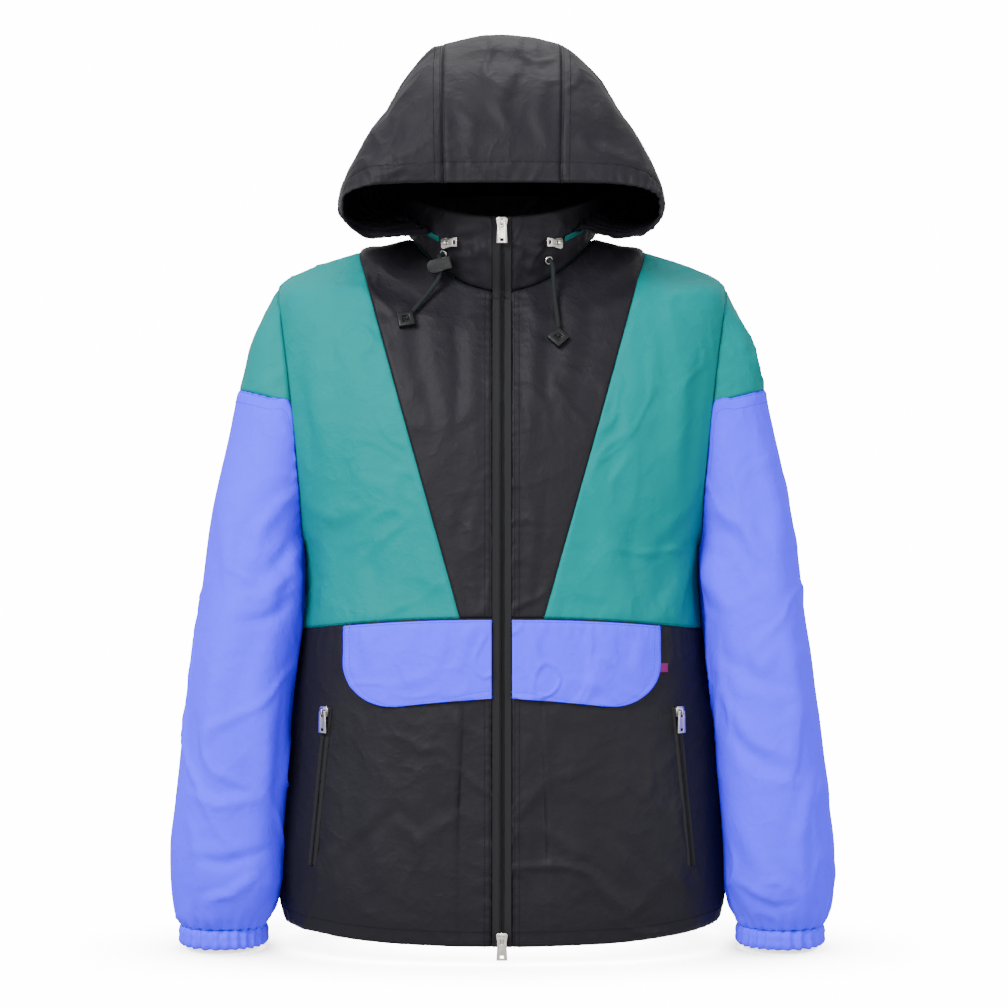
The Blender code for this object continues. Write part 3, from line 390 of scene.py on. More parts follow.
def ruffle(surface, size, shift, stretch=(1.0, 1.0, 1.0)):
    """Slow uneven swell of the cloth, from -1 to 1."""
    flat = surface.reshape(-1, 3) / (np.array(stretch) * size) + shift
    return np.array([noise.noise(Vector(place)) for place in flat]).reshape(surface.shape[:2])


def crumple(surface, size, shift, stretch=(1.0, 1.0, 1.0)):
    """Thin crisp ridges that wander and fade, as pressed nylon keeps after packing: 1 on a ridge, 0 away from it."""
    flat = surface.reshape(-1, 3) / (np.array(stretch) * size) + shift
    found = []
    for place in flat:
        here = Vector(place)
        bent = here + noise.noise_vector(here * 0.6) * 0.9
        first = max(0.0, 1 - abs(noise.noise(bent)) / 0.13) * max(0.0, 0.25 + 1.9 * noise.noise(here * 0.45 + Vector((9, 4, 2))))
        turned = Vector((bent.z * 0.9 + 7, bent.x * 1.5, bent.y + bent.z * 0.4))
        second = max(0.0, 1 - abs(noise.noise(turned)) / 0.15) * max(0.0, 0.15 + 1.7 * noise.noise(here * 0.5 + Vector((1, 8, 5))))
        found.append(max(first, second))
    return np.array(found).reshape(surface.shape[:2])


def nylon(name, colour, tint=0.06, crinkle=0.35, gloss=0.12):
    """Crisp woven nylon: a soft broad highlight, crinkles of several sizes and a faint weave, all in its bump."""
    made = bpy.data.materials.new(name)
    made.use_nodes = True
    nodes, links = made.node_tree.nodes, made.node_tree.links
    shader = nodes["Principled BSDF"]
    shader.inputs["Roughness"].default_value = 0.58
    shader.inputs["Specular IOR Level"].default_value = gloss
    place = nodes.new("ShaderNodeTexCoord")

    def noise_at(scale, detail, rough):
        made_noise = nodes.new("ShaderNodeTexNoise")
        made_noise.inputs["Scale"].default_value = scale
        made_noise.inputs["Detail"].default_value = detail
        made_noise.inputs["Roughness"].default_value = rough
        links.new(place.outputs["Object"], made_noise.inputs["Vector"])
        return made_noise

    def bump(height, distance, strength, below=None):
        made_bump = nodes.new("ShaderNodeBump")
        made_bump.inputs["Distance"].default_value = distance
        made_bump.inputs["Strength"].default_value = strength
        links.new(height, made_bump.inputs["Height"])
        if below is not None:
            links.new(below, made_bump.inputs["Normal"])
        return made_bump.outputs["Normal"]

    blotch = noise_at(9.0, 3.0, 0.5)
    shade = nodes.new("ShaderNodeMapRange")
    shade.inputs["To Min"].default_value = 1.0 - tint
    shade.inputs["To Max"].default_value = 1.0 + tint
    links.new(blotch.outputs["Fac"], shade.inputs["Value"])
    scaled = nodes.new("ShaderNodeVectorMath")
    scaled.operation = "SCALE"
    scaled.inputs[0].default_value = colour
    links.new(shade.outputs["Result"], scaled.inputs["Scale"])
    links.new(scaled.outputs["Vector"], shader.inputs["Base Color"])

    creases = noise_at(19.0, 4.0, 0.50)
    creases.noise_type = "RIDGED_MULTIFRACTAL"
    creases.inputs["Lacunarity"].default_value = 2.3
    creases.inputs["Offset"].default_value = 0.9
    creases.inputs["Gain"].default_value = 1.6
    creases.inputs["Distortion"].default_value = 0.12
    swell = noise_at(60.0, 3.0, 0.55)
    weave = noise_at(1900.0, 1.0, 0.5)
    normal = bump(creases.outputs["Fac"], 0.0011, crinkle)
    normal = bump(swell.outputs["Fac"], 0.0016, crinkle * 0.8, normal)
    normal = bump(weave.outputs["Fac"], 0.00012, 0.30, normal)
    links.new(normal, shader.inputs["Normal"])
    return made


def shell(name, surface, normal, thickness, look, closed=False):
    """Thin closed wall: the surface, and the same points moved inward by the thickness."""
    rows, columns = surface.shape[:2]
    outer = surface.reshape(-1, 3)
    inner = (surface - normal * thickness).reshape(-1, 3)
    index = np.arange(rows * columns).reshape(rows, columns)
    after = np.roll(index, -1, axis=1)
    a, b = (index, after) if closed else (index[:, :-1], index[:, 1:])
    quads = np.stack([a[:-1], b[:-1], b[1:], a[1:]], axis=-1).reshape(-1, 4)
    corner = outer[quads]
    out = np.cross(corner[:, 2] - corner[:, 0], corner[:, 3] - corner[:, 1])
    turned = (out * normal.reshape(-1, 3)[quads[:, 0]]).sum() < 0
    if turned:
        quads = quads[:, ::-1]
    count = rows * columns
    faces = [quads, quads[:, ::-1] + count]

    def rim(line, ahead):
        band = np.stack([line[1:], line[:-1], line[:-1] + count, line[1:] + count], axis=-1)
        faces.append(band if ahead != turned else band[:, ::-1])

    loop = (lambda line: np.append(line, line[0])) if closed else (lambda line: line)
    rim(loop(index[0]), True)
    rim(loop(index[-1]), False)
    if not closed:
        rim(index[:, 0], False)
        rim(index[:, -1], True)
    mesh = bpy.data.meshes.new(name)
    mesh.from_pydata(np.concatenate([outer, inner]).tolist(), [], np.concatenate(faces).tolist())
    mesh.materials.append(look)
    mesh.shade_smooth()
    made = bpy.data.objects.new(name, mesh)
    bpy.context.scene.collection.objects.link(made)
    return made


def seams_down(surface, sides, depth=0.0005, reach=0.0013):
    """How far the cloth dips at its sewn edges, with a slight swell beside each. sides has a letter for each edge:
    f for the first row, l for the last row, s for the first column and e for the last column."""
    dip = np.zeros(surface.shape[:2])
    for letter, away in zip("flse", edge_distances(surface)):
        if letter in sides:
            dip -= depth * np.exp(-(away / reach) ** 2)
            dip += 0.35 * depth * np.exp(-((away - 3.4 * reach) / (2.2 * reach)) ** 2)
    return dip


def held(surface, lift, sides, reach=0.005):
    """The folds die out at the sewn edges, so that the two pieces of a seam stay together."""
    for letter, away in zip("flse", edge_distances(surface)):
        if letter in sides:
            lift = lift * (1 - 0.88 * np.exp(-(away / reach) ** 2))
    return lift


def puckers(surface, side, pitch, height, reach, shift=0.0):
    """Small uneven gathers that run away from one sewn edge and die out within reach."""
    down, up, right, left = edge_distances(surface)
    away, along = {"f": (down, right), "l": (up, right), "s": (right, down), "e": (left, down)}[side]
    wander = ruffle(surface, 0.035, shift + 3.1)
    wave = np.sin(2 * math.pi * (along + 0.010 * wander) / pitch + 1.7 * np.sin(along / (2.7 * pitch) + shift))
    strength = np.clip(0.6 + 0.9 * ruffle(surface, 0.05, shift + 8.4), 0, 1.3)
    return height * wave * strength * np.exp(-(away / reach) ** 1.5)


def wear(made, body, nodes):
    """A finished cloth piece: attached to the body it moves with, and the plain nodes it stands for hidden."""
    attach(made, body)
    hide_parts(*nodes)
    return made

def repeat_tree():
    """Geometry nodes that lay short rods end to end along lines: stitches when thin, zip teeth when square."""
    found = bpy.data.node_groups.get("rods_along_lines")
    if found:
        return found
    tree = bpy.data.node_groups.new("rods_along_lines", "GeometryNodeTree")
    face = tree.interface
    face.new_socket("Geometry", in_out="INPUT", socket_type="NodeSocketGeometry")
    for label in ("Pitch", "Length", "Radius"):
        face.new_socket(label, in_out="INPUT", socket_type="NodeSocketFloat")
    face.new_socket("Sides", in_out="INPUT", socket_type="NodeSocketInt")
    face.new_socket("Material", in_out="INPUT", socket_type="NodeSocketMaterial")
    face.new_socket("Geometry", in_out="OUTPUT", socket_type="NodeSocketGeometry")
    nodes, links = tree.nodes, tree.links
    given, done = nodes.new("NodeGroupInput"), nodes.new("NodeGroupOutput")
    line = nodes.new("GeometryNodeMeshToCurve")
    spaced = nodes.new("GeometryNodeResampleCurve")
    spaced.mode = "LENGTH"
    rod = nodes.new("GeometryNodeMeshCylinder")
    way = nodes.new("GeometryNodeInputTangent")
    turn = nodes.new("FunctionNodeAlignRotationToVector")
    turn.axis = "Z"
    spread = nodes.new("GeometryNodeInstanceOnPoints")
    real = nodes.new("GeometryNodeRealizeInstances")
    paint = nodes.new("GeometryNodeSetMaterial")
    links.new(given.outputs["Geometry"], line.inputs["Mesh"])
    links.new(line.outputs["Curve"], spaced.inputs["Curve"])
    links.new(given.outputs["Pitch"], spaced.inputs["Length"])
    links.new(given.outputs["Length"], rod.inputs["Depth"])
    links.new(given.outputs["Radius"], rod.inputs["Radius"])
    links.new(given.outputs["Sides"], rod.inputs["Vertices"])
    links.new(way.outputs["Tangent"], turn.inputs["Vector"])
    links.new(spaced.outputs["Curve"], spread.inputs["Points"])
    links.new(rod.outputs["Mesh"], spread.inputs["Instance"])
    links.new(turn.outputs["Rotation"], spread.inputs["Rotation"])
    links.new(spread.outputs["Instances"], real.inputs["Geometry"])
    links.new(real.outputs["Geometry"], paint.inputs["Geometry"])
    links.new(given.outputs["Material"], paint.inputs["Material"])
    links.new(paint.outputs["Geometry"], done.inputs["Geometry"])
    return tree


def rods_along(name, lines, pitch, length, radius, sides, look):
    """Plain mesh of rods laid along lines of points, riding with the jacket."""
    corners, edges = [], []
    for line in lines:
        start = len(corners)
        corners += [tuple(point) for point in line]
        edges += [(start + step, start + step + 1) for step in range(len(line) - 1)]
    guide = bpy.data.meshes.new(name + "_guide")
    guide.from_pydata(corners, edges, [])
    made = bpy.data.objects.new(name, guide)
    bpy.context.scene.collection.objects.link(made)
    tree = repeat_tree()
    laid = made.modifiers.new("rods", "NODES")
    laid.node_group = tree
    values = {"Pitch": pitch, "Length": length, "Radius": radius, "Sides": sides, "Material": look}
    for item in tree.interface.items_tree:
        if item.in_out == "INPUT" and item.name in values:
            laid[item.identifier] = values[item.name]
    plain = bpy.data.meshes.new_from_object(made.evaluated_get(bpy.context.evaluated_depsgraph_get()))
    made.modifiers.remove(laid)
    made.data = plain
    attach(made, "jacket")
    return made


def line_beside(surface, normal, side, inset, proud=0.00015):
    """Line of points a given distance inside one edge of a piece, just proud of the cloth."""
    away = dict(zip("flse", edge_distances(surface)))[side]
    points, outs, away = surface + normal * proud, normal, away
    if side in "se":
        points, away = np.swapaxes(points, 0, 1), np.swapaxes(away, 0, 1)
    line = []
    for column in range(points.shape[1]):
        far = away[:, column]
        order = np.argsort(far)
        line.append([np.interp(inset, far[order], points[order, column, axis]) for axis in range(3)])
    return line


def thread(name, colour):
    """Matt spun polyester thread."""
    found = bpy.data.materials.get(name)
    if found:
        return found
    made = bpy.data.materials.new(name)
    made.use_nodes = True
    shader = made.node_tree.nodes["Principled BSDF"]
    shader.inputs["Base Color"].default_value = (*colour, 1)
    shader.inputs["Roughness"].default_value = 0.8
    shader.inputs["Specular IOR Level"].default_value = 0.1
    return made


def topstitch(name, surface, normal, rows, look, closed=False):
    """Lines of lock stitch beside the edges of a piece: rows lists each edge's letter and the distance from it."""
    lines = [line_beside(surface, normal, letter, inset) for letter, inset in rows]
    if closed:
        lines = [line + line[:1] for line in lines]
    return rods_along(name, lines, 0.0031, 0.0023, 0.00028, 5, look)


def black_cloth():
    found = bpy.data.materials.get("black_nylon_cloth")
    return found or nylon("black_nylon_cloth", (0.0050, 0.0046, 0.0066), 0.10, 0.75, 0.095)


def teal_cloth():
    found = bpy.data.materials.get("teal_nylon_cloth")
    return found or nylon("teal_nylon_cloth", (0.0, 0.112, 0.112), 0.05, 0.75, 0.04)


def hidden_folds(surface, seed, height):
    """Plain uneven folds for a side that isn't known: upright swells and a few facets, as at the front."""
    tall = ruffle(surface, 0.085, seed, (1.0, 1.0, 2.6))
    small = ruffle(surface, 0.030, seed + 5.0, (1.0, 1.0, 1.5))
    return height * (tall + 0.35 * small) + 0.0020 * crumple(surface, 0.070, seed)


back_levels = SIDE_ROWS + shoulder_rows() + NECK_ROWS
surface = refine(back_grid(back_levels), 0.0042)
normal = facing_out(surface, (0, 0, None))
surface += normal * (held(surface, hidden_folds(surface, 11.0, 0.0022), "flse") + seams_down(surface, "flse")
                     + puckers(surface, "f", 0.011, 0.0007, 0.030))[..., None]
back_upper = shell("cloth_back_upper", surface, normal, 0.0011, teal_cloth())
wear(back_upper, "jacket", ["back_upper"])
BLACK_THREAD = thread("black_thread", (0.0034, 0.0032, 0.0040))
TEAL_THREAD = thread("teal_thread", (0.0, 0.065, 0.072))
topstitch("stitch_back_upper", surface, normal, [("f", 0.0018)], TEAL_THREAD)

surface = refine(back_grid(LOWER_ROWS), 0.0042)
normal = facing_out(surface, (0, 0, None))
surface += normal * (held(surface, hidden_folds(surface, 23.0, 0.0020), "lse") + seams_down(surface, "flse")
                     + puckers(surface, "f", 0.013, 0.0005, 0.020) + puckers(surface, "l", 0.012, 0.0006, 0.030))[..., None]
back_lower = shell("cloth_back_lower", surface, normal, 0.0011, black_cloth())
wear(back_lower, "jacket", ["back_lower"])
topstitch("stitch_back_lower", surface, normal, [("l", 0.0018), ("f", 0.0145)], BLACK_THREAD)


# ---- front of the body ------------------------------------------------------------------------------------------
# Each half has a black wedge beside the zip, a teal chest panel outside it and a black skirt below the waist seam.
# The cloth hangs from the shoulders in soft upright folds, and it puckers where the seams hold it.
for side in (1, -1):
    surface = refine([[flip(point, side) for point in line] for line in wedge_grid()], 0.0027)
    normal = facing_out(surface, (0, 0, None))
    folds = [([(0.028, -0.030), (0.030, -0.120), (0.026, -0.200)], 0.009, 0.0016),
             ([(0.060, -0.030), (0.072, -0.090), (0.062, -0.150)], 0.010, 0.0014),
             ([(0.048, -0.070), (0.040, -0.130), (0.048, -0.190)], 0.007, -0.0012),
             ([(0.090, -0.040), (0.082, -0.100), (0.066, -0.175)], 0.009, -0.0011),
             ([(0.020, -0.230), (0.034, -0.290), (0.026, -0.350)], 0.007, 0.0013),
             ([(0.044, -0.235), (0.036, -0.300), (0.030, -0.362)], 0.006, -0.0010),
             ([(0.014, -0.060), (0.050, -0.100)], 0.006, 0.0008),
             ([(0.013, -0.160), (0.052, -0.190)], 0.006, -0.0008)]
    if side < 0:
        folds = [([(-x * 0.97, z - 0.012) for x, z in route], width, height) for route, width, height in folds]
    lift = 0.0022 * crumple(surface, 0.055, 3.0 + side) + 0.0010 * ruffle(surface, 0.05, 9.0 * side)
    for route, width, height in folds:
        lift += fold(surface, route, width, height)
    lift = held(surface, lift, "fle")
    lift += seams_down(surface, "flse") + puckers(surface, "s", 0.0095, 0.0005, 0.012, side)
    surface += normal * lift[..., None]
    wedge = shell(side_name("cloth_front_centre", side), surface, normal, 0.0011, black_cloth())
    wear(wedge, "jacket", [side_name("front_centre", side)])
    topstitch(side_name("stitch_wedge", side), surface, normal, [("e", 0.0017), ("s", 0.0030), ("s", 0.0075)],
              BLACK_THREAD)

    surface = refine([[flip(point, side) for point in line] for line in chest_grid()], 0.0027)
    normal = facing_out(surface, (0, 0, None))
    if side > 0:
        folds = [([(0.118, -0.060), (0.128, -0.150), (0.118, -0.240)], 0.014, 0.0018),
                 ([(0.165, -0.070), (0.176, -0.150), (0.168, -0.230)], 0.012, 0.0018),
                 ([(0.196, -0.110), (0.186, -0.170), (0.180, -0.250)], 0.009, -0.0018),
                 ([(0.090, -0.220), (0.104, -0.290), (0.096, -0.360)], 0.010, 0.0016),
                 ([(0.130, -0.250), (0.124, -0.310), (0.138, -0.376)], 0.009, -0.0014),
                 ([(0.160, -0.270), (0.170, -0.320), (0.164, -0.378)], 0.010, 0.0016),
                 ([(0.186, -0.270), (0.160, -0.300), (0.140, -0.318)], 0.007, -0.0016),
                 ([(0.190, -0.300), (0.168, -0.345), (0.150, -0.360)], 0.007, 0.0014),
                 ([(0.058, -0.330), (0.076, -0.345), (0.100, -0.352)], 0.006, 0.0013),
                 ([(0.064, -0.300), (0.088, -0.312)], 0.006, -0.0010),
                 ([(0.098, -0.130), (0.112, -0.190), (0.094, -0.250)], 0.008, -0.0010)]
    else:
        folds = [([(-0.122, -0.050), (-0.140, -0.120), (-0.132, -0.210)], 0.013, 0.0018),
                 ([(-0.176, -0.080), (-0.184, -0.150), (-0.170, -0.220)], 0.011, 0.0018),
                 ([(-0.200, -0.120), (-0.188, -0.190), (-0.184, -0.250)], 0.009, -0.0020),
                 ([(-0.150, -0.180), (-0.130, -0.240), (-0.142, -0.300)], 0.011, 0.0016),
                 ([(-0.190, -0.262), (-0.160, -0.275), (-0.128, -0.262)], 0.008, 0.0016),
                 ([(-0.100, -0.190), (-0.090, -0.250), (-0.106, -0.310)], 0.009, -0.0012),
                 ([(-0.174, -0.290), (-0.166, -0.335), (-0.178, -0.378)], 0.009, 0.0016),
                 ([(-0.130, -0.300), (-0.120, -0.340), (-0.126, -0.374)], 0.008, -0.0014),
                 ([(-0.054, -0.352), (-0.066, -0.330), (-0.072, -0.300)], 0.006, 0.0014),
                 ([(-0.070, -0.362), (-0.084, -0.332), (-0.088, -0.300)], 0.006, -0.0013),
                 ([(-0.094, -0.364), (-0.100, -0.336)], 0.006, 0.0012)]
    lift = 0.0022 * crumple(surface, 0.062, 6.0 + side) + 0.0012 * ruffle(surface, 0.06, 19.0 * side, (1, 1, 1.8))
    for route, width, height in folds:
        lift += fold(surface, route, width, height)
    lift = held(surface, lift, "flse")
    lift += seams_down(surface, "flse") + puckers(surface, "f", 0.010, 0.0009, 0.026, side)
    surface += normal * lift[..., None]
    chest = shell(side_name("cloth_front_chest", side), surface, normal, 0.0011, teal_cloth())
    wear(chest, "jacket", [side_name("front_chest", side)])
    topstitch(side_name("stitch_chest", side), surface, normal, [("f", 0.0018), ("e", 0.0018)], TEAL_THREAD)

    surface = refine([[flip(point, side) for point in line] for line in front_lower_grid()], 0.0028)
    normal = facing_out(surface, (0, 0, None))
    folds = [([(0.060, -0.470), (0.075, -0.560), (0.066, -0.650)], 0.013, 0.0016),
             ([(0.110, -0.480), (0.120, -0.560), (0.112, -0.640)], 0.014, 0.0016),
             ([(0.030, -0.480), (0.040, -0.570), (0.024, -0.650)], 0.010, -0.0012),
             ([(0.206, -0.400), (0.200, -0.480), (0.210, -0.560)], 0.010, 0.0018),
             ([(0.150, -0.600), (0.185, -0.640)], 0.008, 0.0014),
             ([(0.092, -0.560), (0.150, -0.620)], 0.007, -0.0010),
             ([(0.030, -0.560), (0.085, -0.600)], 0.007, 0.0009)]
    if side < 0:
        folds = [([(-x * 1.04, z + 0.014) for x, z in route], width, height) for route, width, height in folds]
    lift = 0.0020 * crumple(surface, 0.070, 16.0 + side) + 0.0012 * ruffle(surface, 0.07, 29.0 * side, (1, 1, 2))
    for route, width, height in folds:
        lift += fold(surface, route, width, height)
    lift = held(surface, lift, "le")
    lift += (seams_down(surface, "flse") + puckers(surface, "l", 0.012, 0.0007, 0.025, side)
             + puckers(surface, "s", 0.010, 0.0005, 0.010, side) + puckers(surface, "f", 0.012, 0.0005, 0.016, side))
    under_flap = np.clip((0.160 - np.abs(surface[..., 0])) / 0.012, 0, 1) * np.clip((surface[..., 2] + 0.458) / 0.012, 0, 1)
    lift *= 1 - 0.75 * under_flap
    surface += normal * lift[..., None]
    skirt = shell(side_name("cloth_front_lower", side), surface, normal, 0.0011, black_cloth())
    wear(skirt, "jacket", [side_name("front_lower", side)])
    topstitch(side_name("stitch_skirt", side), surface, normal, [("f", 0.0145), ("s", 0.0030), ("s", 0.0075)],
              BLACK_THREAD)


# ---- collar -------------------------------------------------------------------------------------------------------
# The stand collar runs from one side of the zip round the neck to the other, one black band with an elastic edge.
# It is gathered in short uneven tucks where the hood's zip is sewn to it.
def collar_grid():
    """Stand collar from one side of the zip round the back to the other."""
    grid = []
    for level in (0, 1, 2):
        start = front_edge_angle(COLLAR, level)
        wedge = [mix(start, math.pi / 2, part) for part in steps(WEDGE_COLUMNS)]
        back = [mix(math.pi / 2, math.pi, part) for part in steps(BACK_COLUMNS)][1:]
        half = [ring_point(COLLAR, level, angle) for angle in wedge + back]
        grid.append(half + [mirrored(point) for point in reversed(half[:-1])])
    return grid


def outward(rows, at, angle):
    """Unit normal of a ring surface."""
    small = 0.01
    along = ring_point(rows, at, angle + small) - ring_point(rows, at, angle - small)
    up = ring_point(rows, at + small, angle) - ring_point(rows, at - small, angle)
    return along.cross(up).normalized()


def lifted(rows, at, angle, height):
    return ring_point(rows, at, angle) + outward(rows, at, angle) * height


surface = refine(collar_grid(), 0.0017)
normal = facing_out(surface, (0, 0, None))
down, up, _, _ = edge_distances(surface)
around = np.arctan2(surface[..., 0], -surface[..., 1])
lift = 0.0009 * np.sin(34 * around + 2.2 * np.sin(5 * around)) * np.exp(-((down / (down + up) - 0.52) / 0.26) ** 2)
lift += 0.0010 * ruffle(surface, 0.020, 61.0, (1.0, 1.0, 0.5)) + 0.0016 * crumple(surface, 0.036, 62.0)
for route, width, height in (
        ([(-0.012, -0.010), (-0.030, -0.022), (-0.050, -0.020)], 0.0045, 0.0014),
        ([(-0.014, 0.002), (-0.032, -0.006), (-0.052, -0.004)], 0.0045, -0.0014),
        ([(0.012, -0.006), (0.028, -0.018), (0.044, -0.014)], 0.0045, 0.0013),
        ([(0.014, 0.006), (0.034, 0.000), (0.056, 0.006)], 0.0045, -0.0012)):
    lift += fold(surface, route, width, height)
lift = held(surface, lift, "f")
lift += seams_down(surface, "flse", 0.0008, 0.0016)
surface += normal * lift[..., None]
collar = shell("cloth_collar", surface, normal, 0.0012, black_cloth())
wear(collar, "jacket", ["collar"])


# ---- sleeves ------------------------------------------------------------------------------------------------------
# A sleeve is a teal cap over the shoulder and a long blue tube below it, ending in an elastic cuff.
# Each hangs a little forward and out, with folds from the underarm, soft rings at the elbow and gathers at the cuff.
SleeveRing = namedtuple("SleeveRing", "outer_x outer_z inner_x inner_z middle_y half_depth hold")
SLEEVE = [
    SleeveRing(0.2620, -0.1470, 0.1970, -0.3220, 0.000, 0.066, 1.00),
    SleeveRing(0.2716, -0.1891, 0.1996, -0.3450, -0.004, 0.073, 0.70),
    SleeveRing(0.2799, -0.2271, 0.2010, -0.3720, -0.010, 0.076, 0.42),
    SleeveRing(0.2870, -0.2690, 0.2043, -0.4020, -0.018, 0.077, 0.20),
    SleeveRing(0.2920, -0.3105, 0.2082, -0.4360, -0.026, 0.077, 0.07),
    SleeveRing(0.2970, -0.3557, 0.2114, -0.4720, -0.034, 0.0765, 0.0),
    SleeveRing(0.3028, -0.4008, 0.2138, -0.5050, -0.040, 0.076, 0.0),
    SleeveRing(0.3076, -0.4457, 0.2162, -0.5380, -0.045, 0.075, 0.0),
    SleeveRing(0.3126, -0.4858, 0.2182, -0.5680, -0.048, 0.0745, 0.0),
    SleeveRing(0.3168, -0.5229, 0.2197, -0.5970, -0.050, 0.074, 0.0),
    SleeveRing(0.3207, -0.5582, 0.2206, -0.6220, -0.050, 0.073, 0.0),
    SleeveRing(0.3246, -0.5915, 0.2212, -0.6410, -0.050, 0.071, 0.0),
    SleeveRing(0.3246, -0.6259, 0.2225, -0.6540, -0.050, 0.066, 0.0),
    SleeveRing(0.3207, -0.6553, 0.2270, -0.6640, -0.050, 0.058, 0.0),
    SleeveRing(0.3140, -0.6710, 0.2310, -0.6720, -0.050, 0.047, 0.0),
]
CuffRing = namedtuple("CuffRing", "drop half_width half_depth")
CUFF = [CuffRing(0.0000, 0.0412, 0.0467), CuffRing(0.0095, 0.0430, 0.0485), CuffRing(0.0190, 0.0412, 0.0467)]
CUFF_TOP = (0.2725, -0.050, -0.6722)
CapHoop = namedtuple("CapHoop", "level outer_x outer_z")
CAP_HOOPS = [CapHoop(12, 0.2620, -0.1470), CapHoop(12.7, 0.2555, -0.1180), CapHoop(13.3, 0.2445, -0.0880)]


def armhole_point(at, back):
    return ring_point(TORSO, at, outer_angle(at, back))


def cap_hoop(hoop):
    """Half ellipse from the front of the armhole over the outer side to its back."""
    front, back = armhole_point(hoop.level, False), armhole_point(hoop.level, True)
    middle = (front + back) / 2
    outer = Vector((hoop.outer_x, middle.y, hoop.outer_z))
    points = []
    for part in steps(SLEEVE_ARC):
        angle = math.pi * part
        along = math.copysign(abs(math.cos(angle)) ** 0.88, math.cos(angle))
        points.append(middle + (front - back) / 2 * along + (outer - middle) * math.sin(angle) ** 0.88)
    return points


def cap_grid():
    """Teal sleeve cap: from the cap seam up to the armhole over the shoulder."""
    grid = [cap_hoop(hoop) for hoop in CAP_HOOPS]
    edges = [armhole_point(13.7, False), armhole_point(14, False), armhole_point(13.7, True)]
    grid.append([edges[0].lerp(edges[1], part * 2) if part <= 0.5 else edges[1].lerp(edges[2], part * 2 - 1)
                 for part in steps(SLEEVE_ARC)])
    return grid


def sleeve_mouth():
    """Upper edge of the blue sleeve: the cap seam, then the armhole under the arm, as one closed loop."""
    under = [row.level for row in ARMHOLE if row.level <= CAP]
    back = [armhole_point(level, True) for level in reversed(under)]
    front = [armhole_point(level, False) for level in under]
    return cap_hoop(CAP_HOOPS[0]) + back[1:] + front[1:-1]


def sleeve_angles():
    """Angle round a sleeve of each point of its mouth: 0 outer, 90 degrees back, -90 degrees front."""
    over = [math.pi * (part - 0.5) for part in steps(SLEEVE_ARC)]
    below = len(sleeve_mouth()) - len(over) + 1
    return over + [math.pi / 2 + math.pi * step / below for step in range(1, below)]


def sleeve_ring(ring, angle):
    outer = Vector((ring.outer_x, ring.middle_y, ring.outer_z))
    inner = Vector((ring.inner_x, ring.middle_y, ring.inner_z))
    middle = (outer + inner) / 2
    return middle + (outer - middle) * math.cos(angle) + Vector((0, ring.half_depth * math.sin(angle), 0))


def cuff_ring(ring, angle):
    top = Vector(CUFF_TOP)
    return top + Vector((ring.half_width * math.cos(angle), ring.half_depth * math.sin(angle), -ring.drop))


def sleeve_grid():
    """Blue sleeve: its mouth, then slanting rings that lose the mouth's shape row by row."""
    mouth, angles = sleeve_mouth(), sleeve_angles()
    grid = [mouth]
    for ring in SLEEVE[1:]:
        grid.append([sleeve_ring(ring, angle) + (edge - sleeve_ring(SLEEVE[0], angle)) * ring.hold
                     for edge, angle in zip(mouth, angles)])
    grid.append([cuff_ring(CUFF[0], angle) for angle in angles])
    return grid


def cuff_grid():
    return [[cuff_ring(ring, angle) for angle in sleeve_angles()] for ring in CUFF]


def blue_cloth():
    found = bpy.data.materials.get("violet_nylon_cloth")
    return found or nylon("violet_nylon_cloth", (0.030, 0.002, 0.88), 0.05, 0.75, 0.05)


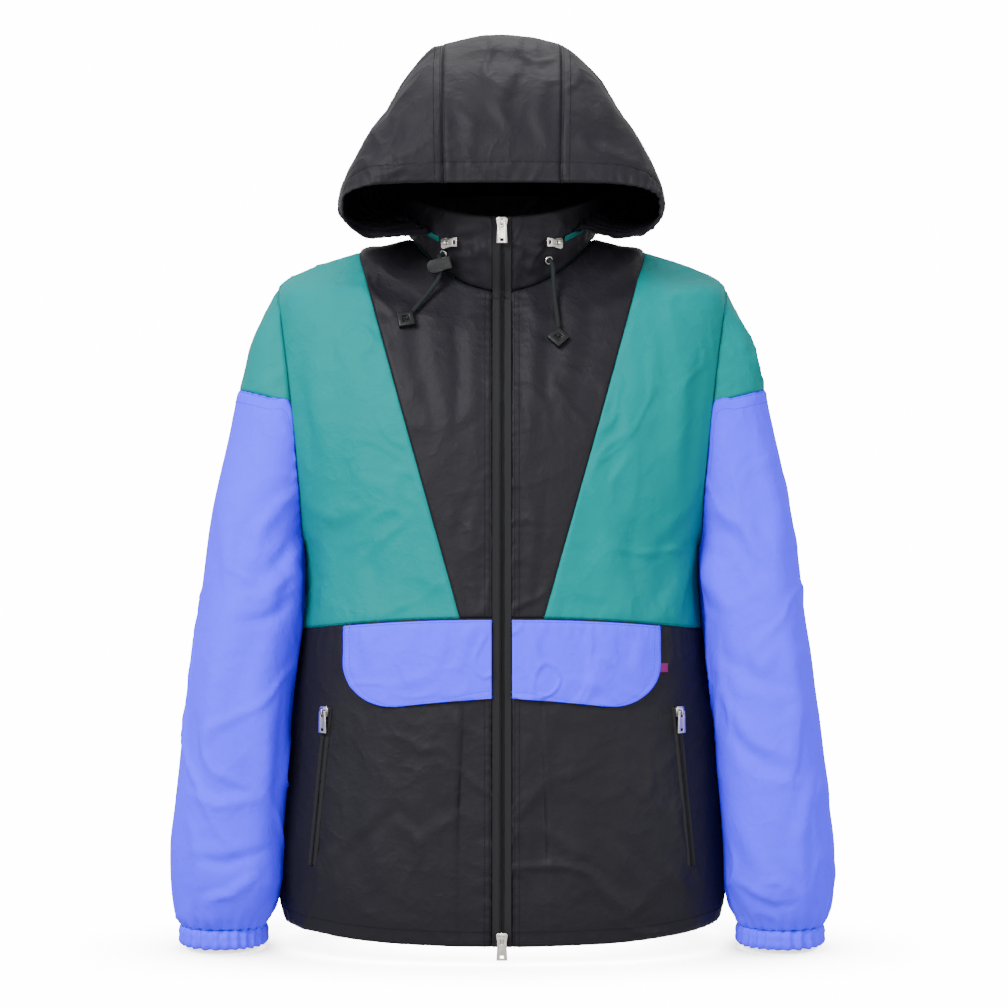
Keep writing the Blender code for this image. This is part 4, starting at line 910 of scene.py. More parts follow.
for side in (1, -1):
    surface = refine([[flip(point, side) for point in line] for line in cap_grid()], 0.0030)
    normal = facing_out(surface, (0.205 * side, 0, -0.16))
    lift = 0.0020 * crumple(surface, 0.060, 40.0 + side) + 0.0010 * ruffle(surface, 0.05, 7.0 * side)
    for route, width, height in (
            ([(0.232, -0.075), (0.246, -0.110), (0.250, -0.150)], 0.008, 0.0016),
            ([(0.216, -0.090), (0.226, -0.120), (0.224, -0.160)], 0.007, -0.0013),
            ([(0.212, -0.130), (0.240, -0.150)], 0.006, 0.0012)):
        lift += fold(surface, [(x * side, z) for x, z in route], width, height)
    lift = held(surface, lift, "fl")
    lift += seams_down(surface, "flse") + puckers(surface, "f", 0.011, 0.0005, 0.016, side)
    surface += normal * lift[..., None]
    cap = shell(side_name("cloth_sleeve_cap", side), surface, normal, 0.0011, teal_cloth())
    wear(cap, "jacket", [side_name("sleeve_cap", side)])
    topstitch(side_name("stitch_cap", side), surface, normal, [("l", 0.0022)], TEAL_THREAD)

    surface = refine([[flip(point, side) for point in line] for line in sleeve_grid()], 0.0034, True)
    normal = facing_out(surface, (0.268 * side, -0.035, None), True)
    down, up, _, _ = edge_distances(surface)
    ahead = np.clip(0.5 - normal[..., 1] * 1.2, 0, 1)
    if side > 0:
        folds = [([(0.200, -0.262), (0.236, -0.286), (0.262, -0.330)], 0.010, 0.0030),
                 ([(0.200, -0.300), (0.226, -0.318), (0.242, -0.360)], 0.009, -0.0028),
                 ([(0.206, -0.330), (0.232, -0.362), (0.236, -0.420)], 0.011, 0.0028),
                 ([(0.250, -0.190), (0.268, -0.270), (0.262, -0.350)], 0.014, 0.0024),
                 ([(0.222, -0.400), (0.250, -0.430), (0.286, -0.440)], 0.009, -0.0022),
                 ([(0.270, -0.380), (0.284, -0.450), (0.276, -0.520)], 0.012, 0.0026),
                 ([(0.232, -0.450), (0.250, -0.490), (0.282, -0.508)], 0.008, 0.0026),
                 ([(0.236, -0.480), (0.256, -0.512), (0.290, -0.524)], 0.007, -0.0024),
                 ([(0.300, -0.520), (0.284, -0.580), (0.292, -0.640)], 0.010, 0.0024),
                 ([(0.240, -0.560), (0.256, -0.610), (0.250, -0.650)], 0.010, 0.0024),
                 ([(0.262, -0.600), (0.288, -0.632)], 0.007, -0.0020),
                 ([(0.236, -0.620), (0.262, -0.640), (0.284, -0.638)], 0.006, 0.0020)]
    else:
        folds = [([(-0.204, -0.250), (-0.232, -0.282), (-0.250, -0.330)], 0.010, 0.0030),
                 ([(-0.202, -0.290), (-0.222, -0.318), (-0.226, -0.370)], 0.009, -0.0026),
                 ([(-0.206, -0.312), (-0.236, -0.348), (-0.256, -0.352)], 0.008, 0.0030),
                 ([(-0.210, -0.345), (-0.236, -0.372), (-0.262, -0.376)], 0.008, -0.0026),
                 ([(-0.258, -0.200), (-0.272, -0.270), (-0.262, -0.340)], 0.013, 0.0022),
                 ([(-0.236, -0.380), (-0.246, -0.450), (-0.238, -0.530)], 0.011, 0.0030),
                 ([(-0.272, -0.400), (-0.284, -0.460), (-0.276, -0.530)], 0.012, 0.0022),
                 ([(-0.224, -0.440), (-0.226, -0.500), (-0.232, -0.560)], 0.008, -0.0022),
                 ([(-0.240, -0.540), (-0.272, -0.548), (-0.300, -0.536)], 0.008, 0.0026),
                 ([(-0.236, -0.590), (-0.266, -0.604), (-0.296, -0.600)], 0.008, -0.0024),
                 ([(-0.300, -0.560), (-0.288, -0.610), (-0.296, -0.650)], 0.009, 0.0022),
                 ([(-0.244, -0.610), (-0.262, -0.634), (-0.290, -0.640)], 0.006, 0.0020)]
    lift = 0.0028 * crumple(surface, 0.070, 50.0 + side)
    lift += 0.0022 * ruffle(surface, 0.050, 31.0 * side, (1.0, 1.0, 1.7)) * np.clip(down / 0.05, 0, 1)
    for route, width, height in folds:
        lift += fold(surface, route, width * 0.75, height * 1.2) * ahead
        lift += fold(surface, [(x * 0.99 + 0.010 * side, z - 0.021) for x, z in route], width, height) * (1 - ahead)
    lift = held(surface, lift, "f")
    turns = np.arctan2((surface[..., 1] + 0.05) / 0.0467, (surface[..., 0] * side - 0.2725) / 0.0412)
    gather = np.sin(25 * turns + 1.3 * np.sin(3 * turns)) * (0.8 + 0.3 * np.sin(5 * turns + 1))
    lift += 0.0017 * gather * np.exp(-(up / 0.016) ** 1.4) * np.clip(up / 0.003 + 0.5, 0, 1)
    lift += 0.0012 * np.sin(12 * turns + 2 * np.sin(2 * turns)) * np.exp(-(up / 0.040) ** 2) * np.clip(up / 0.01, 0, 1)
    lift += seams_down(surface, "fl", 0.0009) + puckers(surface, "f", 0.012, 0.0009, 0.020, side)
    surface += normal * lift[..., None]
    turned = np.arctan2(normal[..., 1], normal[..., 0] * side) + math.radians(140)
    turned = np.where(turned > math.pi, turned - 2 * math.pi, turned)
    near = np.exp(-(turned / 0.62) ** 2) * np.clip((-0.290 - surface[..., 2]) / 0.04, 0, 1)
    near *= np.clip((surface[..., 2] + 0.662) / 0.035, 0, 1)
    surface[..., 0] -= side * near * (0.0135 + 0.0020 * ruffle(surface, 0.045, 58.0 * side))
    sleeve = shell(side_name("cloth_sleeve", side), surface, normal, 0.0011, blue_cloth(), True)
    wear(sleeve, "jacket", [side_name("sleeve", side)])
    topstitch(side_name("stitch_sleeve", side), surface, normal, [("f", 0.0020), ("f", 0.0125)],
              thread("violet_thread", (0.010, 0.012, 0.62)), True)

    surface = refine([[flip(point, side) for point in line] for line in cuff_grid()], 0.0016, True)
    normal = facing_out(surface, (0.2725 * side, -0.05, None), True)
    turns = np.arctan2((surface[..., 1] + 0.05) / 0.0467, (surface[..., 0] * side - 0.2725) / 0.0412)
    down, up, _, _ = edge_distances(surface)
    gather = np.sin(25 * turns + 1.3 * np.sin(3 * turns)) * (0.8 + 0.3 * np.sin(5 * turns + 1))
    waist = np.exp(-((down - 0.0095) / 0.0035) ** 2)
    lift = 0.0020 * gather * (1 - 0.25 * waist) - 0.0006 * waist + seams_down(surface, "fl", 0.0012, 0.0016)
    surface += normal * lift[..., None]
    cuff = shell(side_name("cloth_cuff", side), surface, normal, 0.0012, blue_cloth(), True)
    wear(cuff, "jacket", [side_name("cuff", side)])


# ---- hood ---------------------------------------------------------------------------------------------------------
# Three panels: a gusset over the head and a side each way, with a hemmed brim that stands forward over the face.
# The sides sag onto the shoulders and are gathered by the drawcord along the mouth, inside and out.
Hoop = namedtuple("Hoop", "top_y top_z seam_x seam_drop wide_x wide_y wide_z square sag neck_angle")
HOOD = [
    Hoop(-0.150, 0.0420, 0.0550, 0.0002, 0.1515, -0.126, 0.0220, 3.0, 0.034, 43),   # mouth edge
    Hoop(-0.1440, 0.0900, 0.0560, 0.0030, 0.1555, -0.100, 0.0280, 2.0, 0.030, 50),
    Hoop(-0.1150, 0.1450, 0.0575, 0.0050, 0.1575, -0.066, 0.0320, 1.55, 0.026, 64),
    Hoop(-0.0480, 0.1980, 0.0585, 0.0090, 0.1580, -0.030, 0.0350, 1.32, 0.026, 82),
    Hoop(0.0400, 0.2030, 0.0575, 0.0090, 0.1500, 0.022, 0.0400, 1.35, 0.024, 103),
    Hoop(0.1070, 0.1680, 0.0540, 0.0080, 0.1310, 0.060, 0.0480, 1.6, 0.020, 121),
    Hoop(0.1400, 0.1120, 0.0490, 0.0060, 0.1030, 0.090, 0.0520, 1.9, 0.014, 136),
    Hoop(0.1370, 0.0640, 0.0440, 0.0040, 0.0730, 0.110, 0.0500, 2.0, 0.007, 147),
    Hoop(0.0925, 0.0395, 0.0400, 0.0010, 0.0435, 0.0850, 0.0385, 2.0, 0.000, 154),
]
HOOD_SEAT = 0.58              # height of the hood's lower edge on the collar, as a part of its height
LIP_DIP = 0.0135              # how far the hood sags below its own lower edge at the sides


def hood_seat(angle_degrees):
    """Lower edge of the hood, lying on the collar."""
    return lifted(COLLAR, HOOD_SEAT * 2, math.radians(angle_degrees), LAYER_GAP)


def hood_hoop(at, part):
    """Half hoop: part 0 at the gusset seam, part 1 at the collar."""
    hoop = blend(HOOD, at)
    seam = Vector((hoop.seam_x, hoop.top_y, hoop.top_z - hoop.seam_drop))
    wide = Vector((hoop.wide_x, hoop.wide_y, hoop.wide_z))
    foot = hood_seat(hoop.neck_angle)
    turn = 0.62
    if part <= turn:
        angle = part / turn * math.pi / 2
        over = math.sin(angle) ** (2 / hoop.square)
        down = math.cos(angle) ** (2 / hoop.square) if part < turn else 0.0
        return Vector((mix(seam.x, wide.x, over), mix(wide.y, seam.y, down), mix(wide.z, seam.z, down)))
    along = (part - turn) / (1 - turn)
    hang = wide - Vector((0, 0, hoop.sag))
    reach = Vector((foot.x + (wide.x - foot.x) * 0.53, mix(foot.y, wide.y, 0.5), foot.z - LIP_DIP * hoop.sag / 0.034))
    away = 1 - along
    return (wide * away ** 3 + hang * 3 * away * away * along + reach * 3 * away * along * along
            + foot * along ** 3)


HOOD_ROWS = [0, 0.5, 1, 1.6, 2.2, 2.8, 3.4, 4, 4.6, 5.2, 5.8, 6.4, 7, 7.6]


def hood_side_grid():
    return [[hood_hoop(row, part) for part in steps(HOOD_SIDE_COLUMNS)] for row in HOOD_ROWS]


def hood_centre_grid():
    """Gusset over the head, from the brim to the nape, a little crowned across."""
    grid = []
    for row in HOOD_ROWS + [8]:
        hoop = blend(HOOD, row)
        seam = hood_hoop(row, 0)
        line = []
        for part in (1.0, 0.5, 0.0, -0.5, -1.0):
            line.append(Vector((seam.x * part, seam.y, hoop.top_z - hoop.seam_drop * part * part)))
        grid.append(line)
    return grid


surface = refine(hood_centre_grid(), 0.0028)
normal = facing_out(surface, (0, 0, 0.06))
down, up, _, _ = edge_distances(surface)
lift = 0.0026 * crumple(surface, 0.060, 70.0) + 0.0016 * ruffle(surface, 0.050, 71.0)
for route, width, height in (
        ([(-0.020, 0.158), (-0.004, 0.118), (0.012, 0.092)], 0.007, 0.0022),
        ([(0.026, 0.166), (0.010, 0.120), (0.010, 0.096)], 0.007, -0.0018),
        ([(-0.046, 0.130), (-0.028, 0.100), (-0.030, 0.070)], 0.008, 0.0018),
        ([(0.042, 0.150), (0.034, 0.110), (0.044, 0.076)], 0.008, 0.0018),
        ([(-0.040, 0.176), (0.000, 0.184), (0.040, 0.174)], 0.008, 0.0016)):
    lift += fold(surface, route, width, height)
lift = held(surface, lift, "se")
lift += seams_down(surface, "se", 0.0006, 0.0012) + seams_down(surface, "l")
lift += puckers(surface, "f", 0.0085, 0.0009, 0.018, 2.0) - 0.0009 * np.exp(-((down - 0.020) / 0.0016) ** 2)
surface += normal * lift[..., None]
gusset = shell("cloth_hood_centre", surface, normal, 0.0012, black_cloth())
wear(gusset, "jacket", ["hood_centre"])
topstitch("stitch_hood_centre", surface, normal, [("s", 0.0020), ("e", 0.0020), ("f", 0.0200)], BLACK_THREAD)

for side in (1, -1):
    surface = refine([[flip(point, side) for point in line] for line in hood_side_grid()], 0.0027)
    normal = facing_out(surface, (0, 0, 0.06))
    down, up, right, left = edge_distances(surface)
    lift = 0.0026 * crumple(surface, 0.060, 80.0 + side) + 0.0020 * ruffle(surface, 0.055, 81.0 * side)
    for route, width, height in (
            ([(0.062, 0.170), (0.096, 0.130), (0.110, 0.096)], 0.009, 0.0024),
            ([(0.060, 0.120), (0.088, 0.096), (0.098, 0.070)], 0.009, -0.0020),
            ([(0.118, 0.120), (0.128, 0.086), (0.140, 0.060)], 0.009, 0.0024),
            ([(0.070, 0.078), (0.104, 0.066), (0.132, 0.056)], 0.008, 0.0018),
            ([(0.104, 0.150), (0.126, 0.110), (0.134, 0.090)], 0.008, -0.0018)):
        lift += fold(surface, [(x * side, z) for x, z in route], width, height)
    low = np.clip((right / (right + left) - 0.60) / 0.22, 0, 1)
    along = down + 0.012 * ruffle(surface, 0.030, 83.0 * side)
    lift += 0.0026 * low * np.sin(2 * math.pi * along / 0.0125) * (0.7 + 0.6 * ruffle(surface, 0.04, 84.0))
    lift = held(surface, lift, "s")
    lift += seams_down(surface, "sle", 0.0006, 0.0012)
    lift += puckers(surface, "f", 0.0085, 0.0009, 0.018, 4.0 * side) - 0.0009 * np.exp(-((down - 0.020) / 0.0016) ** 2)
    surface += normal * lift[..., None]
    hood_side = shell(side_name("cloth_hood_side", side), surface, normal, 0.0012, black_cloth())
    wear(hood_side, "jacket", [side_name("hood_side", side)])
    topstitch(side_name("stitch_hood_side", side), surface, normal, [("s", 0.0020), ("s", 0.0085), ("f", 0.0200)],
              BLACK_THREAD)


# ---- pocket flaps ---------------------------------------------------------------------------------------------------
# A blue flap hangs from the waist seam on each side of the zip, its lower outer corner cut round.
# Both are double stitched at their edges, and a small plain plum tab is sewn in beside the wearer's left one.
def on_ring(rows, low, high, x, z):
    """Point and unit normal of a ring surface's front, at a given x and z."""
    for _ in range(18):
        middle = (low + high) / 2
        angle = angle_where(rows, middle, lambda point: point.x - x)
        if ring_point(rows, middle, angle).z > z:
            high = middle
        else:
            low = middle
    return ring_point(rows, middle, angle), outward(rows, middle, angle)


FLAP_WIDTH = 0.1410           # from beside the zip to the outer edge
FLAP_DEPTH = 0.0740
FLAP_CORNER = 0.0500          # how far in the rounded corner reaches
FLAP_ROWS = [0.0, 0.3, 0.5, 0.64, 0.75, 0.83, 0.90, 0.95, 0.985, 1.0]


def flap_grid():
    grid = []
    for part in FLAP_ROWS:
        turn = max(0.0, (part - 0.42) / 0.58)
        width = FLAP_WIDTH - FLAP_CORNER * (1 - math.sqrt(max(0.0, 1 - turn * turn)))
        line = []
        for across in steps(7):
            x = TAPE_OUT + 0.0006 + width * across
            seam = ring_point(TORSO, WAIST, angle_where(TORSO, WAIST, lambda point: point.x - x)).z
            depth = 0.0015 + (FLAP_DEPTH + 0.006 * across) * part
            point, normal = on_ring(TORSO, 1, 8, x, seam - depth)
            line.append(point + normal * (LAYER_GAP + CLOTH))
        grid.append(line)
    return grid


flap_points = flap_grid()
for side in (1, -1):
    surface = refine([[flip(point, side) for point in line] for line in flap_points], 0.0018)
    normal = facing_out(surface, (0, 0, None))
    down, up, right, left = edge_distances(surface)
    folds = [([(0.016, -0.372), (0.030, -0.392), (0.034, -0.420)], 0.006, 0.0017),
             ([(0.046, -0.372), (0.040, -0.400), (0.056, -0.430)], 0.006, -0.0014),
             ([(0.080, -0.376), (0.092, -0.404), (0.084, -0.440)], 0.008, 0.0016),
             ([(0.110, -0.384), (0.118, -0.416)], 0.007, -0.0013),
             ([(0.060, -0.424), (0.100, -0.436)], 0.006, 0.0012),
             ([(0.132, -0.384), (0.128, -0.420)], 0.007, 0.0014)]
    if side < 0:
        folds = [([(-x * 0.95 - 0.006, z + 0.003) for x, z in route], width, height) for route, width, height in folds]
    lift = 0.0012 + 0.0018 * crumple(surface, 0.045, 90.0 + side) + 0.0010 * ruffle(surface, 0.028, 91.0 * side)
    for route, width, height in folds:
        lift += fold(surface, route, width, height)
    lift += puckers(surface, "f", 0.010, 0.0006, 0.014, side) + puckers(surface, "l", 0.009, 0.0005, 0.010, side)
    lift = np.clip(lift, 0.0004, None) * np.clip(down / 0.006, 0.25, 1)
    for away, inset in ((up, 0.0018), (up, 0.0075), (left, 0.0018), (left, 0.0075)):
        lift -= 0.0004 * np.exp(-((away - inset) / 0.0011) ** 2)
    surface += normal * lift[..., None]
    flap = shell(side_name("cloth_flap", side), surface, normal, 0.0010, blue_cloth())
    wear(flap, "jacket", [side_name("flap", side)])
    inner = "s"
    topstitch(side_name("stitch_flap", side), surface, normal,
              [("l", 0.0018), ("l", 0.0075), ("e", 0.0018), ("e", 0.0075), ("f", 0.0018)],
              thread("violet_thread", (0.010, 0.012, 0.62)))

TAB = (0.1539, -0.4180, 0.0075, 0.0085)    # x, z of its middle, width, height
tab_surface = []
for up in (0.5, -0.5):
    tab_line = []
    for across in (-0.5, 0.0, 0.5):
        point, normal = on_ring(TORSO, 3, 8, TAB[0] + TAB[2] * across, TAB[1] + TAB[3] * up)
        tab_line.append(point + normal * (LAYER_GAP + 0.0020))
    tab_surface.append(tab_line)
surface = refine(tab_surface, 0.0010)
normal = facing_out(surface, (0, 0, None))
surface += normal * (0.0004 * ruffle(surface, 0.004, 95.0))[..., None]
tab = shell("label_side_tab", surface, normal, 0.0010, thread("plum_weave", (0.10, 0.006, 0.06)))
wear(tab, "jacket", ["side_tab"])


# ---- zips ---------------------------------------------------------------------------------------------------------
# A two-way moulded zip closes the front from hem to collar on two black tapes, and a welt zip closes each pocket.
# A teal zip round the collar, just under the hood's lower edge, is where the hood comes off.
TAPES = thread("black_tape_weave", (0.0075, 0.0075, 0.0085))
TEETH = thread("black_tooth_resin", (0.0050, 0.0050, 0.0056))
CHAIN_TOP, CHAIN_FOOT = 0.0044, -0.6644
TAPE_MEET = 0.0001            # the tapes meet behind the teeth


def zip_levels():
    levels = LOWER_ROWS + WEDGE_ROWS[1:] + NECK_ROWS
    return [(TORSO, level) for level in levels] + [(COLLAR, 1), (COLLAR, 2)]


tape_points = []
for rows, level in zip_levels():
    inner = ring_point(rows, level, angle_where(rows, level, lambda point: point.x - TAPE_MEET))
    edge = ring_point(rows, level, front_edge_angle(rows, level))
    tape_points.append([inner, inner.lerp(edge, 0.5), edge])
for side in (1, -1):
    surface = refine([[flip(point, side) for point in line] for line in tape_points], 0.0012)
    normal = facing_out(surface, (0, 0, None))
    down, up, right, left = edge_distances(surface)
    lift = 0.0004 * ruffle(surface, 0.02, 97.0 * side, (1, 1, 2)) - 0.0003 * np.exp(-((right - 0.0018) / 0.0006) ** 2)
    lift += 0.0008 * np.exp(-(left / 0.0012) ** 2) - 0.0004 * np.exp(-(right / 0.0007) ** 2)
    surface += normal * lift[..., None]
    tape = shell(side_name("tape_zip", side), surface, normal, 0.0011, TAPES)
    wear(tape, "jacket", [side_name("zip_tape", side)])

heights, depths = [], []
for rows, level in zip_levels():
    point = ring_point(rows, level, 0.0)
    heights.append(point.z)
    depths.append(point.y)
tooth_lines = []
for x, shift in ((-0.00105, 0.0), (0.00105, 0.0007)):
    marks = np.arange(CHAIN_FOOT + shift, CHAIN_TOP, 0.0014)
    tooth_lines.append([(x, np.interp(z, heights, depths) - 0.0001, z) for z in marks])
teeth = rods_along("zip_teeth", tooth_lines, 0.0014, 0.00085, 0.00125, 6, TEETH)
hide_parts("zip_chain")

POCKET_TOP = (0.1670, -0.4560)    # x, z of the pocket zip's upper end
POCKET_FOOT = (0.1815, -0.6080)
POCKET_TAPE = 0.0085
welt_points, welt_middle = [], []
for part in steps(8):
    x, z = mix(POCKET_TOP[0], POCKET_FOOT[0], part), mix(POCKET_TOP[1], POCKET_FOOT[1], part)
    welt_line = []
    for shift in (-0.5, 0.0, 0.5):
        point, normal = on_ring(TORSO, 0, 8, x + POCKET_TAPE * shift, z)
        welt_line.append(point + normal * 0.0012)
    welt_points.append(welt_line)
    welt_middle.append(welt_line[1] + normal * 0.0004)
for side in (1, -1):
    surface = refine([[flip(point, side) for point in line] for line in welt_points], 0.0007)
    normal = facing_out(surface, (0, 0, None))
    down, up, right, left = edge_distances(surface)
    lip = np.minimum(right, left)
    lift = 0.0011 * np.exp(-((lip - 0.0021) / 0.0012) ** 2) - 0.0006 * np.exp(-(lip / 0.0007) ** 2)
    lift += 0.0003 * ruffle(surface, 0.010, 99.0 * side) - 0.0006 * np.exp(-(np.minimum(down, up) / 0.0010) ** 2)
    surface += normal * lift[..., None]
    welt = shell(side_name("welt_pocket", side), surface, normal, 0.0011, TAPES)
    wear(welt, "jacket", [side_name("pocket_zip", side)])
    coil = [[flip(point, side) for point in welt_middle]]
    rods_along(side_name("pocket_coil", side), coil, 0.0012, 0.0007, 0.0010, 6, TEETH)

HOOD_ZIP_START = 38           # degrees round the collar from the front centre
TEAL_TAPE = thread("teal_tape_weave", (0.0, 0.075, 0.072))
band = []
for level in (0.92, 1.0, 1.08):
    half = [lifted(COLLAR, level, math.radians(mix(HOOD_ZIP_START, 180, part)), 0.0018) for part in steps(18)]
    band.append(half + [mirrored(point) for point in reversed(half[:-1])])
surface = refine(band, 0.0014)
normal = facing_out(surface, (0, 0, None))
tape = shell("tape_hood", surface, normal, 0.0012, TEAL_TAPE)
wear(tape, "jacket", ["hood_zip"])
coil_lines = [line_beside(surface, normal, "f", inset, 0.0003) for inset in (0.0022, 0.0038)]
rods_along("hood_coil", coil_lines, 0.0012, 0.0007, 0.0008, 6, TEAL_TAPE)


# ---- sliders, pulls and eyelets -----------------------------------------------------------------------------------
# Die-cast sliders, each with a flat slotted pull that hangs in its arch and swings, and two rolled eyelets in the collar.
# All are plated nickel, a little worn, with soft edges.
def plated_nickel():
    found = bpy.data.materials.get("plated_nickel")
    if found:
        return found
    made = bpy.data.materials.new("plated_nickel")
    made.use_nodes = True
    nodes, links = made.node_tree.nodes, made.node_tree.links
    shader = nodes["Principled BSDF"]
    shader.inputs["Base Color"].default_value = (0.42, 0.40, 0.37, 1)
    shader.inputs["Metallic"].default_value = 1.0
    place = nodes.new("ShaderNodeTexCoord")
    wear_marks = nodes.new("ShaderNodeTexNoise")
    wear_marks.inputs["Scale"].default_value = 900.0
    links.new(place.outputs["Object"], wear_marks.inputs["Vector"])
    rough = nodes.new("ShaderNodeMapRange")
    rough.inputs["To Min"].default_value = 0.20
    rough.inputs["To Max"].default_value = 0.42
    links.new(wear_marks.outputs["Fac"], rough.inputs["Value"])
    links.new(rough.outputs["Result"], shader.inputs["Roughness"])
    return made


def moulded_plastic():
    found = bpy.data.materials.get("moulded_plastic")
    if found:
        return found
    made = thread("moulded_plastic", (0.0045, 0.0048, 0.0052))
    made.node_tree.nodes["Principled BSDF"].inputs["Roughness"].default_value = 0.38
    made.node_tree.nodes["Principled BSDF"].inputs["Specular IOR Level"].default_value = 0.14
    return made


def softened(node, body, look, width):
    """The plain form of a hard piece with its doubles merged and its edges rounded."""
    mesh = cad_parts[node].data.copy()
    work = bmesh.new()
    work.from_mesh(mesh)
    bmesh.ops.remove_doubles(work, verts=work.verts, dist=0.00002)
    bmesh.ops.dissolve_limit(work, angle_limit=math.radians(2), verts=work.verts, edges=work.edges)
    work.to_mesh(mesh)
    work.free()
    mesh.materials.clear()
    mesh.materials.append(look)
    made = bpy.data.objects.new("fine_" + node, mesh)
    bpy.context.scene.collection.objects.link(made)
    edge = made.modifiers.new("edge", "BEVEL")
    edge.width = width
    edge.segments = 3
    edge.limit_method = "ANGLE"
    edge.angle_limit = math.radians(28)
    plain = bpy.data.meshes.new_from_object(made.evaluated_get(bpy.context.evaluated_depsgraph_get()))
    made.modifiers.remove(edge)
    made.data = plain
    plain.shade_smooth()
    plain.set_sharp_from_angle(angle=math.radians(50))
    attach(made, body)
    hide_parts(node)
    return made


for stem in ("zip_{}_top", "zip_{}_bottom", "pocket_{}_left", "pocket_{}_right", "hood_{}_left", "hood_{}_right"):
    softened(stem.format("slider"), "jacket", plated_nickel(), 0.00035)
    softened(stem.format("pull"), "b_" + stem.format("pull"), plated_nickel(), 0.00028)
for side in (1, -1):
    softened(side_name("eyelet", side), "jacket", plated_nickel(), 0.0002)


# ---- drawcord -----------------------------------------------------------------------------------------------------
# Two free ends of the hood's drawcord, a dark braided polyester cord, come out of the collar's eyelets.
# Each ends in a square plastic toggle, and the wearer's right one runs through a sprung cord lock.
CORD_DIAMETER = 0.0045
CORD_LEFT = [                        # straight out of the eyelet, then down over the chest
    (0.0452, -0.0807, -0.0248), (0.0473, -0.0838, -0.0263), (0.0488, -0.0862, -0.0297),
    (0.0494, -0.0874, -0.0350), (0.0497, -0.0880, -0.0420), (0.0502, -0.0886, -0.0500),
    (0.0508, -0.0896, -0.0590), (0.0517, -0.0917, -0.0672), (0.0527, -0.0952, -0.0755),
    (0.0536, -0.0992, -0.0835), (0.0541, -0.1028, -0.0906), (0.0541, -0.1051, -0.0961),
    (0.0541, -0.1073, -0.1012),
]
CORD_RIGHT = [                       # out of the eyelet, down through the lock, then slanting outward
    (-0.0566, -0.0742, -0.0183), (-0.0588, -0.0763, -0.0194), (-0.0603, -0.0790, -0.0202),
    (-0.0606, -0.0818, -0.0212), (-0.0601, -0.0839, -0.0238), (-0.0600, -0.0842, -0.0300),
    (-0.0600, -0.0843, -0.0366), (-0.0615, -0.0847, -0.0430), (-0.0652, -0.0856, -0.0490),
    (-0.0700, -0.0868, -0.0555), (-0.0752, -0.0885, -0.0620), (-0.0805, -0.0907, -0.0683),
    (-0.0858, -0.0933, -0.0748), (-0.0889, -0.0953, -0.0789), (-0.0923, -0.0976, -0.0833),
]


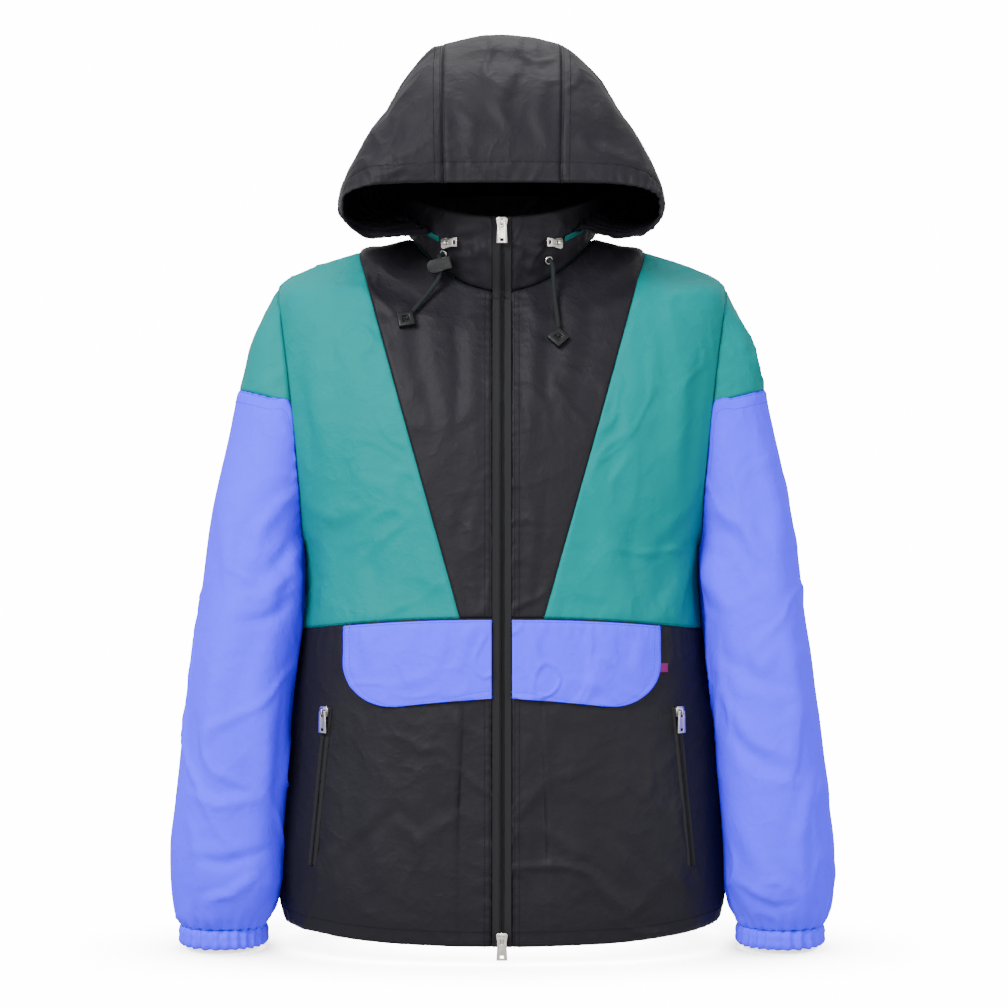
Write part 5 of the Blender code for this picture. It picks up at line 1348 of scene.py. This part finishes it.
def braided_tube(name, route, radius, look):
    """Closed tube along a route, its skin raised in the crossing spirals of a round braid."""
    path = refine([[Vector(place), Vector(place)] for place in route], 0.0006)[:, 0]
    ways = np.gradient(path, axis=0)
    ways /= np.linalg.norm(ways, axis=1, keepdims=True)
    travel = np.concatenate([[0.0], np.cumsum(np.linalg.norm(np.diff(path, axis=0), axis=1))])
    first = np.cross(ways[0], (1.0, 0.2, 0.0))
    first /= np.linalg.norm(first)
    around = 28
    rings = []
    for place, way, run in zip(path, ways, travel):
        first = first - way * np.dot(first, way)
        first /= np.linalg.norm(first)
        second = np.cross(way, first)
        ring = []
        for step in range(around):
            turn = 2 * math.pi * step / around
            weave = math.sin(4 * turn + run / 0.0042 * 2 * math.pi) * math.sin(4 * turn - run / 0.0042 * 2 * math.pi)
            reach = radius * (0.955 + 0.065 * weave)
            ring.append(place + (first * math.cos(turn) + second * math.sin(turn)) * reach)
        rings.append(ring)
    corners = [tuple(point) for ring in rings for point in ring]
    faces = []
    for row in range(len(rings) - 1):
        for step in range(around):
            after = (step + 1) % around
            faces.append((row * around + step, row * around + after, (row + 1) * around + after, (row + 1) * around + step))
    last = (len(rings) - 1) * around
    faces.append(tuple(reversed(range(around))))
    faces.append(tuple(last + step for step in range(around)))
    mesh = bpy.data.meshes.new(name)
    mesh.from_pydata(corners, [], faces)
    mesh.materials.append(look)
    mesh.shade_smooth()
    mesh.set_sharp_from_angle(angle=math.radians(60))
    work = bmesh.new()
    work.from_mesh(mesh)
    bmesh.ops.recalc_face_normals(work, faces=work.faces)
    work.to_mesh(mesh)
    work.free()
    made = bpy.data.objects.new(name, mesh)
    bpy.context.scene.collection.objects.link(made)
    return made, path, float(travel[-1])


def square_toggle(name, route, node):
    """Square moulded end: a corner up the cord, a square well in its face where the cord's knot sits."""
    tip = Vector(route[-1])
    along = (Vector(route[-3]) - tip).normalized()
    across = Vector((0, -0.91, 0.415))
    back = -(across - along * across.dot(along)).normalized()
    sideways = back.cross(along)
    work = bmesh.new()
    loops = []
    for reach, depth in ((0.01096, 0.0029), (0.01096, -0.0029), (0.0046, -0.0029), (0.0046, -0.0004)):
        loops.append([work.verts.new(tip + sideways * x * reach + along * z * reach + back * depth)
                      for x, z in ((1, 0), (0, 1), (-1, 0), (0, -1))])
    for first, second in zip(loops, loops[1:]):
        for step in range(4):
            work.faces.new((first[step], first[(step + 1) % 4], second[(step + 1) % 4], second[step]))
    work.faces.new(loops[0])
    work.faces.new(loops[-1])
    bmesh.ops.recalc_face_normals(work, faces=work.faces)
    mesh = bpy.data.meshes.new(name)
    work.to_mesh(mesh)
    work.free()
    mesh.materials.append(moulded_plastic())
    made = bpy.data.objects.new(name, mesh)
    bpy.context.scene.collection.objects.link(made)
    edge = made.modifiers.new("edge", "BEVEL")
    edge.width = 0.0009
    edge.segments = 3
    plain = bpy.data.meshes.new_from_object(made.evaluated_get(bpy.context.evaluated_depsgraph_get()))
    made.modifiers.remove(edge)
    made.data = plain
    plain.shade_smooth()
    plain.set_sharp_from_angle(angle=math.radians(50))
    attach(made, "jacket")
    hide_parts(node)
    return made


lock = softened("cord_lock", "jacket", moulded_plastic(), 0.0004)
for side, route in ((1, CORD_LEFT), (-1, CORD_RIGHT)):
    toggle = square_toggle(side_name("square_toggle", side), route, side_name("cord_end", side))
    cord, path, length = braided_tube(side_name("braid_cord", side), route, CORD_DIAMETER / 2,
                                      thread("cord_braid", (0.0060, 0.0078, 0.0082)))
    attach(cord, "jacket")
    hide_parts(side_name("cord", side))
